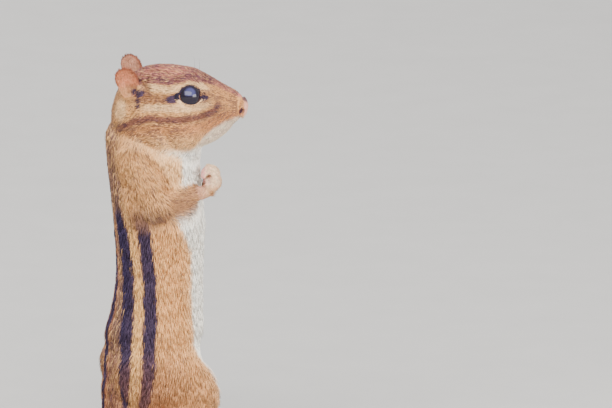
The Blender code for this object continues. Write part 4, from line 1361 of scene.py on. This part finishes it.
bm = bmesh.new()
for side, sign in sides.items():
    for centre, radii in pawBeads(side, sign):
        made = bmesh.ops.create_icosphere(bm, subdivisions=2, radius=1.0)["verts"]
        spots = np.array([v.co for v in made]) * radii + centre
        for v, spot in zip(made, toWorld(spots)):
            v.co = spot
mesh = bpy.data.meshes.new("pawsAndFeet")
bm.to_mesh(mesh)
bm.free()
paws = remeshed(newObject("pawsAndFeet", mesh), pawForm["voxel"], pawForm["rounds"])
pawPoints = positions(paws.data)
pawPoints[:, 2] = np.maximum(pawPoints[:, 2], pawForm["lowest"] * mm)
moveVertices(paws.data, pawPoints)
smoothShade(paws.data)
pawLocal, pawNormal = toLocal(pawPoints), vertexNormals(paws.data)
px, pz = pawLocal[:, 0], pawLocal[:, 2]
isFore = pz > pawForm["foreAbove"]
inner = isFore & (pawNormal[:, 0] < -0.1) & (pawNormal[:, 2] < 0.6) & (px < 20.6)
tips = np.where(isFore, smoothStep(18.9, 18.1, px), smoothStep(15.5, 18.5, px) * 0.55)
tint = painted(
    "paw",
    len(pawLocal),
    ("foot", 1.0 * ~isFore),
    ("pad", np.clip(0.75 * tips + 0.35 * inner + 0.5 * (pz < 0.8), 0, 0.85)),
    ("arm", 0.7 * isFore * smoothStep(103.2, 100.6, pz)),
    ("red", 0.3 * ~isFore * smoothStep(2, -8, px)),
)
dress(paws, tint, bareFinish)
pawLie = np.where(isFore[:, None], (0.35, 0, 0.9), (1.0, 0, -0.15)).astype(float)
pawLie[:, 0] -= 1.0 * isFore * smoothStep(107.5, 109.0, pz)
pawLie = laidFlat(turned(pawLie, turnAt(pz)), pawNormal)
pawTufts = {"fore": (1.0, 0.17, 0.18), "hind": (1.2, 0.2, 0.20), "density": 6.0}
stand = np.where(isFore & (px < 19.0) & (pz > 103.5), 0, pawTufts["density"])
stand = np.where(~isFore & ((pawNormal[:, 2] < -0.2) | (pz < 0.6)), 0, stand)
pawSize = np.where(isFore[:, None], pawTufts["fore"], pawTufts["hind"])
tellTufts(paws.data, pawLie, pawNormal, pawSize, stand)
pawColours = tintedTufts(tint, pawPoints, 1.04, 0.09, 0.8, (0.95, 1.15))


def pawIslands(p):
    fore, right = p[:, 2] > pawForm["foreAbove"], p[:, 1] < 0
    return [
        (fore & right, (20, -6, 104), (0, 0, 1)),
        (fore & ~right, (20, 6, 102), (0, 0, 1)),
        (~fore & right, (5, -14.5, 2), (1, 0, 0)),
        (~fore & ~right, (5, 14.5, 2), (1, 0, 0)),
    ]


growCoat("coatPaws", paws, shortTufts, coatSeeds["paws"], pawIslands, pawColours, pitch=0.05)
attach(paws, "root")
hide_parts(*[f"{part}_{side}" for part in ("forepaw", "hind_foot") for side in sides])

# Claws: all eighteen, rounded; the fore ones follow the curled fingers.
clawNodes = [f"claw_fore_{side}_{i}" for side in sides for i in range(1, 5)]
clawNodes += [f"claw_hind_{side}_{i}" for side in sides for i in range(1, 6)]
claws = withModifiers(nodeCopy("claws", clawNodes), ("SUBSURF", {"levels": 1, "render_levels": 1}))
clawPlace = toLocal(positions(claws.data))
clawPlace[:, 0] += pawForm["fingerBack"] * (clawPlace[:, 2] > pawForm["foreAbove"])
moveVertices(claws.data, toWorld(clawPlace))
smoothShade(claws.data)
claws.data.materials.append(fleckedMaterial("clawHorn", linear("54423e"), 1800, 0.4, 0.03, Roughness=0.35))
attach(claws, "root")
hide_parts(*clawNodes)
print("stage: paws, feet and claws made")

# Whiskers: fine tapered hairs from the pad of the upper lip, and two over each eye.
whiskerForm = {
    "sides": 5,
    "steps": 12,
    "radius": 0.055,
    "taper": 0.82,
    "rows": 4,
    "inRow": 4,
    "length": 12.5,
    "longerBehind": 2.6,
    "droop": 1.6,
    "brow": ((15.5, 8.5, 140.0), (13.8, 8.5, 140.2)),
    "browLength": 8.5,
    "browDroop": 1.0,
}


def whiskerPaths(sign):
    rng = np.random.default_rng(9)
    paths = []
    for row in range(whiskerForm["rows"]):
        for number in range(whiskerForm["inRow"]):
            root = np.array((27.6 - number * 1.25, 5.2, 127.0 + row * 1.25 - number * 0.1))
            heading = np.array((-0.15 - 0.22 * number, 0.92, -0.32 + 0.20 * row)) + rng.normal(0, 0.05, 3)
            length = whiskerForm["length"] + whiskerForm["longerBehind"] * number + rng.uniform(-1, 1)
            paths.append((root, heading, length, whiskerForm["droop"]))
    for spot in whiskerForm["brow"]:
        heading = np.array((0.05, 0.75, 0.6)) + rng.normal(0, 0.05, 3)
        paths.append((np.array(spot), heading, whiskerForm["browLength"], whiskerForm["browDroop"]))
    made = []
    for root, heading, length, droop in paths:
        inside = toWorld([mirrored((root[0], 0.5, root[2]), sign)])[0]
        side = toWorld([mirrored((root[0], 30.0, root[2]), sign)])[0]
        hit = skinTree.ray_cast(Vector(side), Vector(inside - side).normalized())
        if hit[0] is None:
            continue
        start = toLocal([hit[0]])[0] * (1, sign, 1)
        t = np.linspace(-0.03, 1, whiskerForm["steps"])[:, None]
        path = start + unit(heading) * length * t
        path += np.array((-droop, 0, -droop * 0.8)) * np.maximum(0, t) ** 2
        made.append(path * (1, sign, 1))
    return made


verts, faces = [], []
for sign in sides.values():
    for path in whiskerPaths(sign):
        path = toWorld(path)
        along = unitRows(np.gradient(path, axis=0))
        first = unitRows(np.cross(along, (0, 0, 1)))
        second = np.cross(along, first)
        base, count = len(verts), whiskerForm["sides"]
        for step, spot in enumerate(path):
            radius = whiskerForm["radius"] * mm * (1 - whiskerForm["taper"] * step / (len(path) - 1))
            for j in range(count):
                angle = 2 * math.pi * j / count
                outward = first[step] * math.cos(angle) + second[step] * math.sin(angle)
                verts.append(spot + outward * radius)
        for step in range(len(path) - 1):
            faces += bandFaces(base + step * count, base + (step + 1) * count, count)
        faces += capFaces(base, len(verts) - count, count)
whiskers = formed("whiskers", verts, faces)
whiskerFinish = fleckedMaterial("whiskerHair", linear("4d3f44"), 900, 0.3, 0.0, Roughness=0.4)
whiskers.data.materials.append(whiskerFinish)
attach(whiskers, "root")

# Tail: a core under long hair that lies back along it.
tailForm = {
    "path": (
        (-13, 0, 15), (-20, 0.4, 10), (-30, 1.5, 5), (-44, 4.5, 3.1),
        (-60, 10, 2.8), (-76, 18, 2.4), (-90, 28, 1.7),
    ),
    "radii": (5.0, 3.8, 2.7, 2.2, 1.9, 1.5, 0.8),
    "flatness": 0.86,
    "steps": 110,
    "sides": 28,
    "density": 9.5,
    "densityUnder": 2.0,
    "lowest": 0.3,
}
tailRows = curvePoints([(*p, r) for p, r in zip(tailForm["path"], tailForm["radii"])], tailForm["steps"])
centreLine = toWorld(tailRows[:, :3])
ahead = unitRows(np.gradient(centreLine, axis=0))
level = unitRows(np.cross((0, 0, 1), ahead))
over = np.cross(ahead, level)
verts, faces, count = [], [], tailForm["sides"]
for i in range(len(tailRows)):
    for j in range(count):
        angle = 2 * math.pi * j / count
        out = level[i] * math.cos(angle) + over[i] * math.sin(angle) * tailForm["flatness"]
        verts.append(centreLine[i] + out * tailRows[i, 3] * mm)
    if i:
        faces += bandFaces((i - 1) * count, i * count, count)
faces += capFaces(0, len(verts) - count, count)
verts = np.array(verts)
verts[:, 2] = np.maximum(verts[:, 2], tailForm["lowest"] * mm)
tail = formed("tailCore", verts, faces)
tailNormal = vertexNormals(tail.data)
tailStep = np.repeat(np.arange(len(tailRows)), count)
tailShare = tailStep / (len(tailRows) - 1)
flank = np.abs((tailNormal * level[tailStep]).sum(1))
hairLong = (2.6 + 7.0 * smoothStep(0.05, 0.32, tailShare)) * (0.85 + 0.3 * flank)
hairWide = 0.28 + 0.06 * tailShare
hairLift = 1.0 + 2.4 * flank * tailShare
tailSize = np.stack((hairLong, hairWide, hairLift), axis=1)
tailStand = np.where(tailNormal[:, 2] < -0.85, tailForm["densityUnder"], tailForm["density"])
tellTufts(tail.data, ahead[tailStep], tailNormal, tailSize, tailStand)
tailUpper = smoothStep(-0.5, 0.3, tailNormal[:, 2])
nearestTail = finderFor(verts)


def tailColours(roots, local, rng):
    near = nearestTail(roots)
    edge = smoothStep(0.6, 0.95, flank[near])
    colour = np.tile(coatColours["red"], (len(roots), 1))
    colour = blended(colour, coatColours["grizzled"] * 0.55, 0.75 * tailUpper[near])
    pick = rng.random(len(roots))
    colour = np.where((pick < 0.30)[:, None], coatColours["dark"] * 0.9, colour)
    colour = np.where((pick > 0.86)[:, None], coatColours["buff"], colour)
    colour = blended(colour, coatColours["buff"], 0.45 * edge * (pick > 0.5))
    colour = colour * rng.normal(1, 0.10, len(roots)).clip(0.7, 1.3)[:, None]
    return colour, 0.7, rng.uniform(1.0, 1.45, len(roots))


tailRound = oneIsland((-50, 8, 3), (-1, 0.3, 0))
growCoat("tailHair", tail, longTufts, coatSeeds["tail"], tailRound, tailColours, 0.2, 0.1)
dress(tail, painted("red", len(verts), ("tailTop", 0.6 * tailUpper)), skinFinish)
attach(tail, "root")
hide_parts("tail_base", "tail_middle", "tail_tip")

# Floor, lights and camera.
studio = {
    "target": (54.4, 0.0, 93.45),
    "distance": 2.5,
    "elevation": 12.0,
    "lens": 408.5,
    "floorHalf": 8.0,
    "air": (0.95, 0.96, 1.0, 1),
    "airStrength": 0.80,
    "lightAim": (0, 0, 0.08),
}
half = studio["floorHalf"]
floorCorners = [(-half, -half, 0), (half, -half, 0), (half, half, 0), (-half, half, 0)]
floor = formed("floor", floorCorners, [(0, 1, 2, 3)])
floor.data.materials.append(fleckedMaterial("floorPale", (0.57, 0.56, 0.54), 40, 0.06, 0.0, Roughness=0.8))

camera = bpy.data.objects.new("camera", bpy.data.cameras.new("camera"))
bpy.context.scene.collection.objects.link(camera)
tilt = math.radians(studio["elevation"])
away = Vector((0, -math.cos(tilt), math.sin(tilt)))
camera.data.lens = studio["lens"]
camera.data.clip_start, camera.data.clip_end = 0.05, 40
camera.location = Vector(shift) + Vector(studio["target"]) * mm + away * studio["distance"]
camera.rotation_euler = (-away).to_track_quat("-Z", "Y").to_euler()
bpy.context.scene.camera = camera

softBoxes = {
    "keyLight": {"place": (-0.25, -1.15, 1.10), "size": (2.0, 1.2), "power": 49, "tint": (1.0, 0.97, 0.92)},
    "fillLight": {"place": (1.5, -0.9, 0.30), "size": (1.4, 0.9), "power": 42, "tint": (1.0, 0.98, 0.95)},
    "backLight": {"place": (-0.6, 1.4, 1.3), "size": (1.0, 1.0), "power": 18, "tint": (1.0, 0.98, 0.96)},
}
for name, box in softBoxes.items():
    data = bpy.data.lights.new(name, "AREA")
    data.shape, (data.size, data.size_y) = "RECTANGLE", box["size"]
    data.energy, data.color = box["power"], box["tint"]
    light = bpy.data.objects.new(name, data)
    bpy.context.scene.collection.objects.link(light)
    light.location = Vector(shift) + Vector(box["place"])
    aim = Vector(shift) + Vector(studio["lightAim"]) - light.location
    light.rotation_euler = aim.to_track_quat("-Z", "Y").to_euler()
air = bpy.data.worlds.new("studioAir")
air.use_nodes = True
air.node_tree.nodes["Background"].inputs["Color"].default_value = studio["air"]
air.node_tree.nodes["Background"].inputs["Strength"].default_value = studio["airStrength"]
bpy.context.scene.world = air
